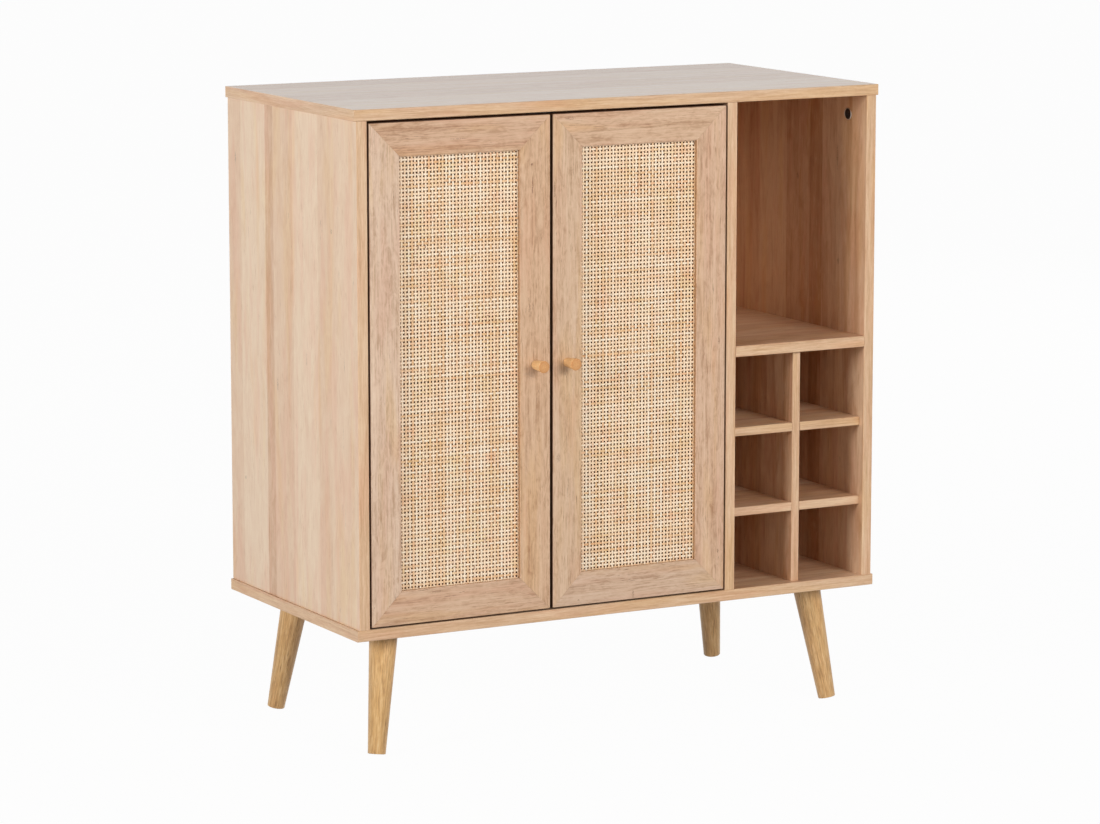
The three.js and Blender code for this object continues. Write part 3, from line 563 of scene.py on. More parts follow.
def knob_beech(name, centre, finishes):
    """Lacquered beech: fine flecks along the peg, and a darker sawn face that darkens further
    towards its rim.
    """
    material, tree = new_material(name)
    point = along_grain(tree, "Y", centre.x * 5)
    fleck = blots(tree, point, 0.6, 5.0, detail=3.0)
    cloud = blots(tree, point, 6.0, 14.0)
    side = add(tree, "ValToRGB", {"Fac": weighed(tree, [(fleck, 0.8), (cloud, 0.7)])}, stops=[
        (0.5, finishes.knob_light), (1.0, finishes.knob_mid)])
    away = add(tree, "VectorMath", {0: on_object(tree), 1: tuple(centre)}, operation="SUBTRACT")
    flat = add(tree, "VectorMath", {0: away, 1: (1, 0, 1)}, operation="MULTIPLY")
    reach = add(tree, "VectorMath", {0: flat}, operation="LENGTH")
    mottle = blots(tree, point, 1.6, 3.0, detail=3.0)
    sawn = add(tree, "ValToRGB", {"Fac": weighed(tree, [(reach, 40.0), (mottle, 0.9)])}, stops=[
        (0.3, finishes.knob_mid), (0.8, finishes.knob_dark)])
    tint = toned(tree, side, looking(tree, "Y"), 1.0, sawn)
    wood_surface(tree, tint, fleck, 0.42, 0.03 * MM)
    return material


def split_cane(name, grain, finishes):
    """Rattan skin, split and woven: a waxy straw-coloured skin, no two strands alike.

    Each strand's own tone and its edges are attributes. Where a strand was stained, its
    edges are dark for a few crossings.
    """
    material, tree = new_material(name)
    strand = add(tree, "Attribute", attribute_name="strand_tone").outputs["Fac"]
    edge = add(tree, "Attribute", attribute_name="strand_edge").outputs["Fac"]
    point = along_grain(tree, grain, 0.2)
    stretch = blots(tree, point, 5.2, 90.0)
    fibre = blots(tree, point, 0.45, 30.0)
    cloud = blots(tree, point, 34.0, 34.0)
    tone = weighed(tree, [(strand, 0.32), (stretch, 0.5), (fibre, 0.3), (cloud, 0.3)])
    tint = add(tree, "ValToRGB", {"Fac": tone}, stops=[
        (0.48, finishes.cane_light), (0.72, finishes.cane_mid), (1.0, finishes.cane_dark)])
    blush = patches(tree, point, 24.0, 24.0, 0.52, 0.7)
    tint = toned(tree, tint, blush, 0.8, CANE_BLUSH, "MULTIPLY")
    aside = tuple(0.9 * MM * step for step in SEED_STEPS)
    apart = add(tree, "VectorMath", {0: point, 1: aside}, operation="ADD")
    olive = patches(tree, apart, 30.0, 30.0, 0.52, 0.7)
    tint = toned(tree, tint, olive, 0.8, CANE_OLIVE, "MULTIPLY")
    border = add(tree, "MapRange", {"Value": edge, "From Min": 0.6, "From Max": 1.0},
                 interpolation_type="SMOOTHSTEP")
    tint = toned(tree, tint, border, 0.6, finishes.cane_edge)
    fleck = patches(tree, point, 2.4, 3.6, 0.7, 0.78, detail=1.0)
    tint = toned(tree, tint, fleck, 0.5, CANE_FLECK)
    spot = patches(tree, point, 3.4, 16.0, 0.7, 0.74, detail=1.0)
    rim = add(tree, "MapRange", {"Value": edge, "From Min": 0.15, "From Max": 0.55},
              interpolation_type="SMOOTHSTEP")
    stain = add(tree, "Math", {0: spot, 1: rim}, operation="MULTIPLY")
    tint = toned(tree, tint, stain, 0.9, CANE_STAIN)
    wood_surface(tree, tint, fibre, 0.48, 0.03 * MM)
    return material


def hardboard(name, seed, finishes):
    """Thin fibreboard: oak paper on its inner face, raw brown fibre on its back.

    The real fibres are finer than drawn here, where they are coarse enough to show.
    """
    material, tree = new_material(name)
    point = along_grain(tree, "Z", seed)
    faces = three_tones(finishes, "face")
    print_side, relief = oak_colour(tree, point, faces, LAMINATE_LOOK)
    # Painted shade: the inner face is darkened as the boards' inner faces are
    print_side = toned(tree, print_side, 1.0, 1.0, finishes.inner_painted_shade, "MULTIPLY")
    fuzz = blots(tree, point, 2.6, 4.0, detail=6.0, rough=0.8)
    drift = blots(tree, point, 90.0, 60.0, detail=3.0)
    raw = add(tree, "ValToRGB", {"Fac": weighed(tree, [(fuzz, 0.88), (drift, 0.12)])}, stops=[
        (0.34, finishes.fibre_light), (0.66, finishes.fibre_dark)])
    chips = patches(tree, point, 2.2, 6.0, 0.62, 0.7)
    raw = toned(tree, raw, chips, 0.6, FIBRE_CHIP)
    behind = looking(tree, "+Y")
    tint = toned(tree, print_side, behind, 1.0, raw)
    relief = add(tree, "Mix", {0: behind, 2: relief, 3: fuzz})
    wood_surface(tree, tint, relief, 0.62, 0.05 * MM)
    return material


def plated_steel(name, code, roughness, grain_mm):
    """Plated steel: mirror-like in small, blurred by rolling marks and handling."""
    material, tree = new_material(name)
    point = along_grain(tree, "Z", 0.1)
    smear = blots(tree, point, grain_mm, grain_mm * 6, detail=4.0, rough=0.65)
    blur = add(tree, "Math", {0: smear, 1: 0.16, 2: roughness}, operation="MULTIPLY_ADD")
    bump = add(tree, "Bump", {"Height": smear, "Strength": 0.1, "Distance": 0.02 * MM})
    surface(tree, {"Base Color": hex_colour(code), "Metallic": 1.0, "Roughness": blur,
                   "Normal": bump})
    return material


def moulded_plastic(name, code):
    """Moulded ABS with a spark-eroded texture, drawn coarser than it is, to show."""
    material, tree = new_material(name)
    speck = blots(tree, along_grain(tree, "Z", 0.4), 0.5, 0.5, detail=3.0)
    tone = hex_colour(code)
    darker = tuple(0.85 * channel for channel in tone[:3]) + (1.0,)
    tint = add(tree, "ValToRGB", {"Fac": speck}, stops=[(0.35, tone), (0.7, darker)])
    bump = add(tree, "Bump", {"Height": speck, "Strength": 0.3, "Distance": 0.03 * MM})
    surface(tree, {"Base Color": tint, "Roughness": 0.5, "Normal": bump})
    return material


# Pieces

# Edges flatter than these are shaded soft: on steel and turned wood, and on the cane
SOFT_EDGE = math.radians(35)
SOFT_STRAND = math.radians(50)

# Faces of pressed steel that turn less than this are one face. Edges that turn more than the
# second angle are rounded, with this number of steps.
SAME_FACE = math.radians(1)
SHARP_EDGE = math.radians(40)
EASE_STEPS = 2

# Points nearer than these are one: as they are made, and once they are bevelled
SAME_POINT = 1e-6
BEVELLED_POINT = 3e-6

# Steps of a full turn
LEG_STEPS = 72
KNOB_STEPS = 56
RING_STEPS = 40
HEAD_STEPS = 16

# A screw: its shank against its head's radius, its head's outline in shares of radius and
# height, the rim of its recess against the recess's reach, the recess's depth against the
# head's height, and how far a face of the recess's floor has to look up
SHANK = 0.45
HEAD_OUTLINE = ((1.0, 0.0), (1.0, 0.35), (0.86, 0.8))
RECESS_RIM = 1.15
RECESS_DEPTH = 0.7
UPWARD = 0.9


def dress(node, material):
    """Gives a piece of the frame its material."""
    piece = nodes[node]
    piece.data.materials.clear()
    piece.data.materials.append(material)
    return piece


def new_piece(name, mesh, material, body, replaced=(), smooth=None):
    """Turns a bmesh to a piece that rides on a body.

    smooth is the angle up to which its edges are shaded soft.
    """
    data = bpy.data.meshes.new(name)
    mesh.to_mesh(data)
    mesh.free()
    if smooth is not None:
        data.shade_smooth()
        data.set_sharp_from_angle(angle=smooth)
    data.materials.append(material)
    piece = bpy.data.objects.new(name, data)
    bpy.context.scene.collection.objects.link(piece)
    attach(piece, body)
    if replaced:
        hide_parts(*replaced)
    return piece


def eased_piece(name, node, ease, material, body):
    """Replaces a piece of the frame by a copy of it with rounded edges."""
    return new_piece(name, eased_copy(node, ease), material, body, [node], SOFT_EDGE)


def spun(profile, steps, place=Matrix.Identity(4), ring=False):
    """A solid spun round +Z from pairs of radius and height.

    The profile starts and ends on the axis, or, for a ring, closes on itself.
    """
    mesh = bmesh.new()
    points = [mesh.verts.new((radius, 0, height)) for radius, height in profile]
    following = points[1:] + points[:1] if ring else points[1:]
    edges = [mesh.edges.new(pair) for pair in zip(points, following)]
    bmesh.ops.spin(mesh, geom=points + edges, cent=(0, 0, 0), axis=(0, 0, 1),
                   angle=2 * math.pi, steps=steps, use_merge=True)
    bmesh.ops.remove_doubles(mesh, verts=mesh.verts, dist=SAME_POINT)
    bmesh.ops.recalc_face_normals(mesh, faces=mesh.faces)
    bmesh.ops.transform(mesh, matrix=place, verts=mesh.verts)
    return mesh


def arc(centre_radius, centre_height, radius, start, end, steps=4):
    """Points of a rounded corner in a spun profile, from one angle to another in degrees."""
    points = []
    for step in range(steps + 1):
        angle = math.radians(start + (end - start) * step / steps)
        across, up = radius * math.cos(angle), radius * math.sin(angle)
        points.append((centre_radius + across, centre_height + up))
    return points


def recessed(mesh, reach, depth):
    """Sinks a cross recess in a spun screw head.

    Its end face needs rings at half the reach and at the reach.
    """
    top = max(vert.co.z for vert in mesh.verts)
    sunk = []
    for face in mesh.faces:
        middle = face.calc_center_median()
        if face.normal.z > UPWARD and middle.z > top - SAME_POINT:
            turn = math.degrees(math.atan2(middle.y, middle.x)) % 360
            on_arm = int(turn / (360 / HEAD_STEPS)) % (HEAD_STEPS // 4) == 0
            away = middle.xy.length
            if away < reach / 2 or (away < reach and on_arm):
                sunk.append(face)
    moved = bmesh.ops.extrude_face_region(mesh, geom=sunk)["geom"]
    floor = [item for item in moved if isinstance(item, bmesh.types.BMVert)]
    bmesh.ops.translate(mesh, vec=(0, 0, -depth), verts=floor)
    bmesh.ops.delete(mesh, geom=sunk, context="FACES")
    return mesh


def screw_heads(places, sizes, radius, height, shank=0.0):
    """Round-headed screws with a cross recess, at pairs of place and axis, in one mesh."""
    reach = sizes.recess / 2
    profile = [(0, -shank), (radius * SHANK, -shank), (radius * SHANK, 0)] if shank else [(0, 0)]
    profile += [(radius * across, height * up) for across, up in HEAD_OUTLINE]
    profile += [(reach * RECESS_RIM, height), (reach, height), (reach / 2, height), (0, height)]
    head = recessed(spun(profile, HEAD_STEPS), reach, height * RECESS_DEPTH)
    data = bpy.data.meshes.new("screw_head")
    head.to_mesh(data)
    head.free()
    mesh = bmesh.new()
    for place, axis in places:
        known = len(mesh.verts)
        mesh.from_mesh(data)
        mesh.verts.ensure_lookup_table()
        bmesh.ops.transform(mesh, matrix=axis_matrix(place, axis), verts=mesh.verts[known:])
    bpy.data.meshes.remove(data)
    bmesh.ops.recalc_face_normals(mesh, faces=mesh.faces)
    return mesh


def axis_matrix(place, axis):
    """Takes +Z to an axis and the origin to a place."""
    turn = Vector((0, 0, 1)).rotation_difference(Vector(axis))
    return Matrix.Translation(place) @ turn.to_matrix().to_4x4()


def eased_copy(node, ease):
    """A copy of a piece of the frame with its sharp edges rounded."""
    mesh = bmesh.new()
    mesh.from_mesh(nodes[node].data)
    bmesh.ops.remove_doubles(mesh, verts=mesh.verts, dist=SAME_POINT)
    bmesh.ops.dissolve_limit(mesh, angle_limit=SAME_FACE, verts=mesh.verts, edges=mesh.edges)
    sharp = [edge for edge in mesh.edges
             if edge.is_manifold and edge.calc_face_angle() > SHARP_EDGE]
    bmesh.ops.bevel(mesh, geom=sharp, offset=ease, offset_type="OFFSET", segments=EASE_STEPS,
                    profile=0.5, affect="EDGES", material=-1, clamp_overlap=True)
    bmesh.ops.remove_doubles(mesh, verts=mesh.verts, dist=BEVELLED_POINT)
    bmesh.ops.dissolve_degenerate(mesh, edges=mesh.edges, dist=SAME_POINT)
    bmesh.ops.triangulate(mesh, faces=[face for face in mesh.faces if len(face.verts) > 4])
    return mesh


class CABINET_OT_boards(bpy.types.Operator):
    """Finishes the case's boards and the rack in oak laminate, the back in hardboard"""

    bl_idname = "cabinet.boards"
    bl_label = "Boards"
    bl_options = {"REGISTER", "UNDO"}

    # Node: run of the grain, and the ways that its inner faces look, which get painted shade
    BOARDS = {
        "top_panel": ("X", ("-Z",)),
        "bottom_panel": ("X", ("+Z",)),
        "open_shelf": ("X", ("+Z", "-Z")),
        "rack_shelf_lower": ("X", ("+Z", "-Z")),
        "rack_shelf_upper": ("X", ("+Z", "-Z")),
        "cupboard_shelf": ("X", ("+Z", "-Z")),
        "left_side_panel": ("Z", ("+X",)),
        "right_side_panel": ("Z", ("-X",)),
        "divider_panel": ("Z", ("+X", "-X")),
        "rack_upright": ("Z", ("+X", "-X")),
    }

    # The two side panels' planks, from front to back: front edge along Y in mm, and level, of
    # which 0 is the palest
    PLANKS = {
        "left_side_panel": (
            (-188, 0.28), (-108, 0.4), (-70, 0.16), (8, 0.42), (69, 0.68), (93, 0.16),
            (172, 0.38)),
        "right_side_panel": (
            (-188, 0.5), (-112, 0.62), (-74, 0.98), (-42, 0.72), (20, 0.22), (94, 0.44)),
    }

    # Dots and cracks in the decor: place, radius, stretch along X, Y and Z, depth
    MARKS = {
        "left_side_panel": (
            ((-0.397, 0.0591, 0.4756), 0.0016, (2, 1, 6.0), 0.5),
            ((-0.397, 0.1656, 0.3311), 0.0024, (2, 1, 1.0), 0.55),
            ((-0.397, -0.1106, 0.7007), 0.0024, (2, 1, 1.4), 0.5),
            ((-0.397, 0.1886, 0.7707), 0.0018, (2, 1, 5.0), 0.6),
        ),
        "right_side_panel": (
            ((0.382, -0.0090, 0.7240), 0.0030, (2, 1, 1.4), 0.6),
            ((0.382, -0.1180, 0.6150), 0.0030, (2, 1, 1.4), 0.5),
            ((0.382, -0.1130, 0.7600), 0.0020, (2, 1, 9.0), 0.45),
        ),
    }

    def execute(self, context):
        finishes = context.scene.cabinet_finishes
        for index, (node, (grain, inner)) in enumerate(self.BOARDS.items()):
            seed = 1.3 * index + 0.5
            banded = ("Y", "X") if node in ("top_panel", "bottom_panel") else ("Y",)
            sheen = SMOOTH if node == "top_panel" else MATT
            board = laminate(f"{node}_oak", grain, seed, finishes, banded, inner,
                             self.PLANKS.get(node, ()), self.MARKS.get(node, ()), sheen)
            dress(node, board)
        dress("back_panel", hardboard("back_fibreboard", 3.1, finishes))
        return {"FINISHED"}


class CABINET_OT_door_frames(bpy.types.Operator):
    """Finishes the doors' frames, the glue in their mitres and the beads behind the cane"""

    bl_idname = "cabinet.door_frames"
    bl_label = "Door frames"
    bl_options = {"REGISTER", "UNDO"}

    # How each member's decor strays from the palest one
    TINTS = {
        "left_door_meeting_stile": "f6ecdf",
        "left_door_top_rail": "f3e8de",
        "left_door_bottom_rail": "f3eae1",
        "right_door_meeting_stile": "f8f3ea",
        "right_door_hinge_stile": "f7eee6",
        "right_door_top_rail": "f7efe5",
        "right_door_bottom_rail": "f1ede9",
    }

    # Knots and cracks that show in the decor: place, radius, stretch along X, Y and Z, depth
    KNOTS = {
        "left_door_meeting_stile": (
            ((-0.1401, -0.1876, 0.7830), 0.0016, (1, 2, 1.0), 0.95),
            ((-0.1392, -0.1876, 0.7526), 0.0014, (1, 2, 9.0), 0.7),
        ),
        "left_door_top_rail": (((-0.2497, -0.1876, 0.8221), 0.0012, (11, 2, 1.0), 0.4),),
        "left_door_bottom_rail": (
            ((-0.3418, -0.1876, 0.2389), 0.0030, (1.3, 2, 1.0), 0.35),
            ((-0.2839, -0.1876, 0.2231), 0.0012, (9, 2, 1.0), 0.6),
        ),
        "right_door_top_rail": (((-0.0833, -0.1876, 0.8416), 0.0040, (2.0, 2, 0.6), 0.6),),
        "right_door_meeting_stile": (
            ((-0.1064, -0.1876, 0.7474), 0.0013, (1, 2, 9.0), 0.75),
            ((-0.1002, -0.1876, 0.3871), 0.0034, (1, 2, 2.0), 0.4),
        ),
        "right_door_hinge_stile": (
            ((0.1482, -0.1876, 0.5288), 0.0018, (1, 2, 3.0), 0.6),
            ((0.1482, -0.1876, 0.2377), 0.0014, (1, 2, 2.0), 0.7),
        ),
        "right_door_bottom_rail": (
            ((0.0148, -0.1876, 0.1903), 0.0016, (1, 2, 3.4), 0.55),
            ((-0.0695, -0.1876, 0.1907), 0.0012, (1, 2, 1.0), 0.9),
        ),
    }

    MEMBERS = ("hinge_stile", "meeting_stile", "top_rail", "bottom_rail")

    def execute(self, context):
        finishes = context.scene.cabinet_finishes
        for door, side in enumerate(SIDES):
            outward = ("-X", "+X", "+Z", "-Z") if side == "left" else ("+X", "-X", "+Z", "-Z")
            for index, (member, outer) in enumerate(zip(self.MEMBERS, outward)):
                grain = "Z" if "stile" in member else "X"
                node = f"{side}_door_{member}"
                seed = 1.7 * index + 5.3 * door + 0.9
                tint = self.TINTS.get(node, "ffffff")
                edge = getattr(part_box(node)[1 if outer[0] == "+" else 0], outer[1].lower())
                knots = self.KNOTS.get(node, ())
                oak = door_oak(f"{node}_oak", grain, seed, finishes, tint, knots, outer, edge)
                dress(node, oak)
            bead = f"{side}_cane_bead"
            dress(bead, door_oak(f"{bead}_oak", "Z", 21.0 + door, finishes))
            glued = door_oak(f"{side}_mitre_oak", "Z", 31.0 + door, finishes)
            new_piece(f"{side}_mitre_glue", self.mitres(side, context.scene.cabinet_mitres), glued,
                      f"{side}_door")
        return {"FINISHED"}

    def mitres(self, side, sizes):
        """The glue in a door's four mitres: thin sheets that end just below the frame's face."""
        boxes = [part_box(f"{side}_door_{member}") for member in self.MEMBERS]
        low = [min(box[0][axis] for box in boxes) for axis in range(3)]
        high = [max(box[1][axis] for box in boxes) for axis in range(3)]
        outline = [
            (sizes.start, sizes.sink), (sizes.band, sizes.sink),
            (sizes.slope, sizes.fall + sizes.sink), (sizes.end, sizes.lip),
            (sizes.end, sizes.depth), (sizes.start, sizes.depth)]
        mesh = bmesh.new()
        for x, inward_x in ((low[0], 1), (high[0], -1)):
            for z, inward_z in ((low[2], 1), (high[2], -1)):
                thick = Vector((inward_z, 0, -inward_x)).normalized() * sizes.glue
                points = [Vector((x + inward_x * reach, low[1] + depth, z + inward_z * reach))
                          for reach, depth in outline]
                face = mesh.faces.new([mesh.verts.new(point - thick / 2) for point in points])
                moved = bmesh.ops.extrude_face_region(mesh, geom=[face])["geom"]
                bmesh.ops.translate(mesh, vec=thick, verts=[
                    item for item in moved if isinstance(item, bmesh.types.BMVert)])
        bmesh.ops.recalc_face_normals(mesh, faces=mesh.faces)
        return mesh


class CABINET_OT_cane(bpy.types.Operator):
    """Weaves the doors' cane panels, strand over strand"""

    bl_idname = "cabinet.cane"
    bl_label = "Cane"
    bl_options = {"REGISTER", "UNDO"}

    SEEDS = {"left": 11, "right": 47}

    # A strand's rise over a crossing against its thickness, its sway against its largest drift,
    # the sway's pace in radians a metre, and the range of its width
    RISE = 0.62
    SWAY = 0.5
    SWAY_PACE = 9
    WIDTHS = (0.93, 1.05)

    def execute(self, context):
        scene = context.scene
        sizes = scene.cabinet_cane
        uprights = split_cane("cane_upright_strands", "Z", scene.cabinet_finishes)
        crossers = split_cane("cane_cross_strands", "X", scene.cabinet_finishes)
        for side in SIDES:
            low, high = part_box(f"{side}_cane_panel")
            draw = random.Random(self.SEEDS[side])
            spans = (high.x - low.x, high.z - low.z)
            counts = [round((span - 2 * sizes.border) / sizes.pitch) for span in spans]
            pitches = [(span - 2 * sizes.border) / count for span, count in zip(spans, counts)]
            centre = Vector((low.x + sizes.border, (low.y + high.y) / 2, low.z + sizes.border))
            upright = self.strands(draw, sizes, centre, counts, pitches, Matrix.Identity(4), 0)
            swap = Matrix(((0, 0, 1, 0), (0, 1, 0, 0), (1, 0, 0, 0), (0, 0, 0, 1)))
            cross = self.strands(draw, sizes, centre, counts[::-1], pitches[::-1], swap, 1)
            new_piece(f"{side}_cane_uprights", upright, uprights, f"{side}_door",
                      [f"{side}_cane_panel"], SOFT_STRAND)
            new_piece(f"{side}_cane_crossers", cross, crossers, f"{side}_door",
                      [f"{side}_cane_panel"], SOFT_STRAND)
        return {"FINISHED"}

    def strands(self, draw, sizes, corner, counts, pitches, swap, phase):
        """All strands that run along Z, or, with the swap, along X.

        Each starts as a flat grid, two faces wide. Its rows come in pairs, one pair to a
        crossing, so it lies flat over or under each strand that it meets.
        """
        mesh = bmesh.new()
        tone_layer = mesh.verts.layers.float.new("strand_tone")
        edge_layer = mesh.verts.layers.float.new("strand_edge")
        crossings = counts[1] + 1
        rows = 2 * crossings + 2
        for strand in range(counts[0] + 1):
            made = bmesh.ops.create_grid(
                mesh, x_segments=2, y_segments=rows - 1, size=1.0)["verts"]
            tone = draw.random()
            drift = draw.uniform(-1, 1) * sizes.wander
            swing = draw.uniform(0, 2 * math.pi)
            width = sizes.width * draw.uniform(*self.WIDTHS)
            for vert in made:
                row = round((vert.co.y + 1) / 2 * (rows - 1)) - 1
                crossing = row // 2
                if row < 0:
                    along = -sizes.border
                elif row == rows - 2:
                    along = counts[1] * pitches[1] + sizes.border
                else:
                    along = crossing * pitches[1] + (sizes.flat if row % 2 else -sizes.flat)
                over = 1 if (crossing + strand + phase) % 2 else -1
                sway = drift + self.SWAY * sizes.wander * math.sin(swing + self.SWAY_PACE * along)
                lift = over * sizes.thickness * self.RISE
                crown = sizes.crown if abs(vert.co.x) < 0.5 else 0.0
                place = Vector((
                    strand * pitches[0] + sway + vert.co.x * width / 2,
                    lift - crown,
                    along,
                ))
                vert.co = corner + swap.to_3x3() @ place
                vert[tone_layer] = tone
                vert[edge_layer] = 0.0 if crown else 1.0
        bmesh.ops.recalc_face_normals(mesh, faces=mesh.faces)
        bmesh.ops.solidify(mesh, geom=mesh.faces[:], thickness=sizes.thickness)
        bmesh.ops.recalc_face_normals(mesh, faces=mesh.faces)
        return mesh


class CABINET_OT_legs(bpy.types.Operator):
    """Turns the four tapered legs, each along its own lean"""

    bl_idname = "cabinet.legs"
    bl_label = "Legs"
    bl_options = {"REGISTER", "UNDO"}

    def execute(self, context):
        scene = context.scene
        sizes = scene.cabinet_turned
        for corner in CORNERS:
            sole = mounts[f"sole_{corner}"]
            place = Vector(sole["pos_m"])
            axis = -Vector(sole["axis"])
            top = sizes.leg_length
            ease = sizes.leg_ease
            profile = [(0, 0)]
            profile += arc(sizes.leg_foot - ease, ease, ease, -90, 0)
            profile += arc(sizes.leg_top - ease, top - ease, ease, 0, 90)
            profile += [(sizes.bolt_radius, top), (sizes.bolt_radius, top + sizes.bolt_length)]
            profile += [(0, top + sizes.bolt_length)]
            leg = spun(profile, LEG_STEPS, axis_matrix(place, axis))
            oak = leg_oak(f"leg_{corner}_oak", place, axis, scene.cabinet_finishes)
            new_piece(f"turned_leg_{corner}", leg, oak, "case",
                      [f"leg_{corner}"], SOFT_EDGE)
        return {"FINISHED"}


class CABINET_OT_knobs(bpy.types.Operator):
    """Turns the two wooden knobs"""

    bl_idname = "cabinet.knobs"
    bl_label = "Knobs"
    bl_options = {"REGISTER", "UNDO"}

    def execute(self, context):
        scene = context.scene
        sizes = scene.cabinet_turned
        for side in SIDES:
            low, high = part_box(f"{side}_knob")
            middle = (low + high) / 2
            length = high.y - low.y
            face = (high.x - low.x) / 2
            ease = sizes.knob_ease
            base = Vector((middle.x, high.y, middle.z))
            profile = [(0, 0), (sizes.knob_base, 0)]
            profile += arc(face - ease, length - ease, ease, 5, 90, 6)
            profile += [(0, length)]
            knob = spun(profile, KNOB_STEPS, axis_matrix(base, (0, -1, 0)))
            beech = knob_beech(f"{side}_knob_beech", middle, scene.cabinet_finishes)
            new_piece(f"{side}_turned_knob", knob, beech, f"{side}_door",
                      [f"{side}_knob"], SOFT_EDGE)
        return {"FINISHED"}


class CABINET_OT_hinges(bpy.types.Operator):
    """Finishes the hinges, plates, pins, strikes and screws in plated steel"""

    bl_idname = "cabinet.hinges"
    bl_label = "Hinges and plates"
    bl_options = {"REGISTER", "UNDO"}

    # The height of the pan head behind a knob, against its radius
    PAN_HEIGHT = 0.6

    def execute(self, context):
        sizes = context.scene.cabinet_hardware
        ease = sizes.steel_ease
        nickel = plated_steel("bright_nickel_plate", "c4c3c0", 0.16, 3.0)
        zinc = plated_steel("dull_zinc_plate", "9da0a2", 0.34, 5.0)
        for side in SIDES:
            for level in LEVELS:
                for part, body in (("arm", "case"), ("plate", "case"), ("cup", f"{side}_door")):
                    node = f"{side}_{level}_hinge_{part}"
                    eased_piece(f"{node}_steel", node, ease, nickel, body)
            dress(f"{side}_door_strike", nickel)
            self.screws(side, sizes, nickel)
        places = []
        for corner in CORNERS:
            node = f"leg_plate_{corner}"
            eased_piece(f"{node}_steel", node, ease, zinc, "case")
            low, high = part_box(node)
            middle = (low + high) / 2
            seat = high.z - sizes.leg_plate_steel
            half = sizes.leg_pitch / 2
            places += [((middle.x + x, middle.y + y, seat), (0, 0, -1))
                       for x in (-half, half) for y in (-half, half)]
        heads = screw_heads(places, sizes, sizes.screw_head, sizes.screw_height)
        new_piece("leg_plate_screws", heads, zinc, "case", smooth=SOFT_EDGE)
        for depth in ("front", "back"):
            for side in SIDES:
                dress(f"shelf_pin_{depth}_{side}", zinc)
        return {"FINISHED"}

    def screws(self, side, sizes, nickel):
        """The screws of one door's wall plates and cups, and the one behind its knob."""
        plates, cups = [], []
        for level in LEVELS:
            low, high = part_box(f"{side}_{level}_hinge_plate")
            wall = low.x + sizes.plate_base if side == "left" else high.x - sizes.plate_base
            for z in (-sizes.plate_pitch / 2, sizes.plate_pitch / 2):
                place = (wall, low.y + sizes.plate_reach, (low.z + high.z) / 2 + z)
                plates.append((place, (1 if side == "left" else -1, 0, 0)))
            low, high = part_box(f"{side}_{level}_hinge_cup")
            for z in (-sizes.cup_pitch / 2, sizes.cup_pitch / 2):
                cups.append((((low.x + high.x) / 2, high.y, (low.z + high.z) / 2 + z), (0, 1, 0)))
        for name, places, body in (("plate", plates, "case"), ("cup", cups, f"{side}_door")):
            heads = screw_heads(places, sizes, sizes.screw_head, sizes.screw_height)
            new_piece(f"{side}_{name}_screws", heads, nickel, body, smooth=SOFT_EDGE)
        low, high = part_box(f"{side}_knob_screw")
        head = sizes.knob_screw * self.PAN_HEIGHT
        shank = high.y - low.y - head
        place = ((low.x + high.x) / 2, high.y - head, (low.z + high.z) / 2)
        screw = screw_heads([(place, (0, 1, 0))], sizes, sizes.knob_screw, head, shank)
        new_piece(f"{side}_knob_screw_steel", screw, nickel, f"{side}_door",
                  [f"{side}_knob_screw"], SOFT_EDGE)


class CABINET_OT_fittings(bpy.types.Operator):
    """Finishes the cam locks and the magnetic catch"""

    bl_idname = "cabinet.fittings"
    bl_label = "Cam locks and catch"
    bl_options = {"REGISTER", "UNDO"}

    # How far a ring's foot lies behind its lock's face, and its rounded crown: distances from
    # its outer and its inner radius, each with a share of the ring's height
    RING_SINK = 0.6 * MM
    OUTER_CROWN = ((0.0, 0.5), (0.3 * MM, 0.9), (0.7 * MM, 1.0))
    INNER_CROWN = ((0.4 * MM, 1.0), (0.0, 0.7))

    # The catch's screws against the others
    CATCH_HEAD = 0.9

    def execute(self, context):
        sizes = context.scene.cabinet_hardware
        ease = sizes.steel_ease
        cast = plated_steel("die_cast_zinc", "4c4844", 0.42, 2.0)
        bright = plated_steel("bright_zinc", "d8d4cc", 0.3, 2.0)
        for wall in ("left", "divider", "right"):
            for depth in ("front", "back"):
                node = f"cam_lock_{wall}_{depth}"
                eased_piece(f"{node}_zinc", node, ease, cast, "case")
                low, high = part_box(node)
                way = 1 if wall == "left" else -1
                face = high.x - self.RING_SINK if wall == "left" else low.x + self.RING_SINK
                place = (face, (low.y + high.y) / 2, (low.z + high.z) / 2)
                outer, inner, tall = sizes.ring_outer, sizes.ring_inner, sizes.ring_height
                profile = [(inner, 0), (outer, 0)]
                profile += [(outer - away, tall * up) for away, up in self.OUTER_CROWN]
                profile += [(inner + away, tall * up) for away, up in self.INNER_CROWN]
                ring = spun(profile, RING_STEPS, axis_matrix(place, (way, 0, 0)), ring=True)
                new_piece(f"{node}_ring", ring, bright, "case", smooth=SOFT_EDGE)
        grey = moulded_plastic("grey_moulded_plastic", "8f8e8a")
        eased_piece("catch_housing", "magnetic_catch", ease, grey, "case")
        low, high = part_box("magnetic_catch")
        middle = (low + high) / 2
        places = [((middle.x + x, middle.y, low.z), (0, 0, -1))
                  for x in (-sizes.catch_pitch / 2, sizes.catch_pitch / 2)]
        radius = sizes.screw_head * self.CATCH_HEAD
        heads = screw_heads(places, sizes, radius, sizes.screw_height)
        new_piece("catch_screws", heads, bright, "case", smooth=SOFT_EDGE)
        return {"FINISHED"}


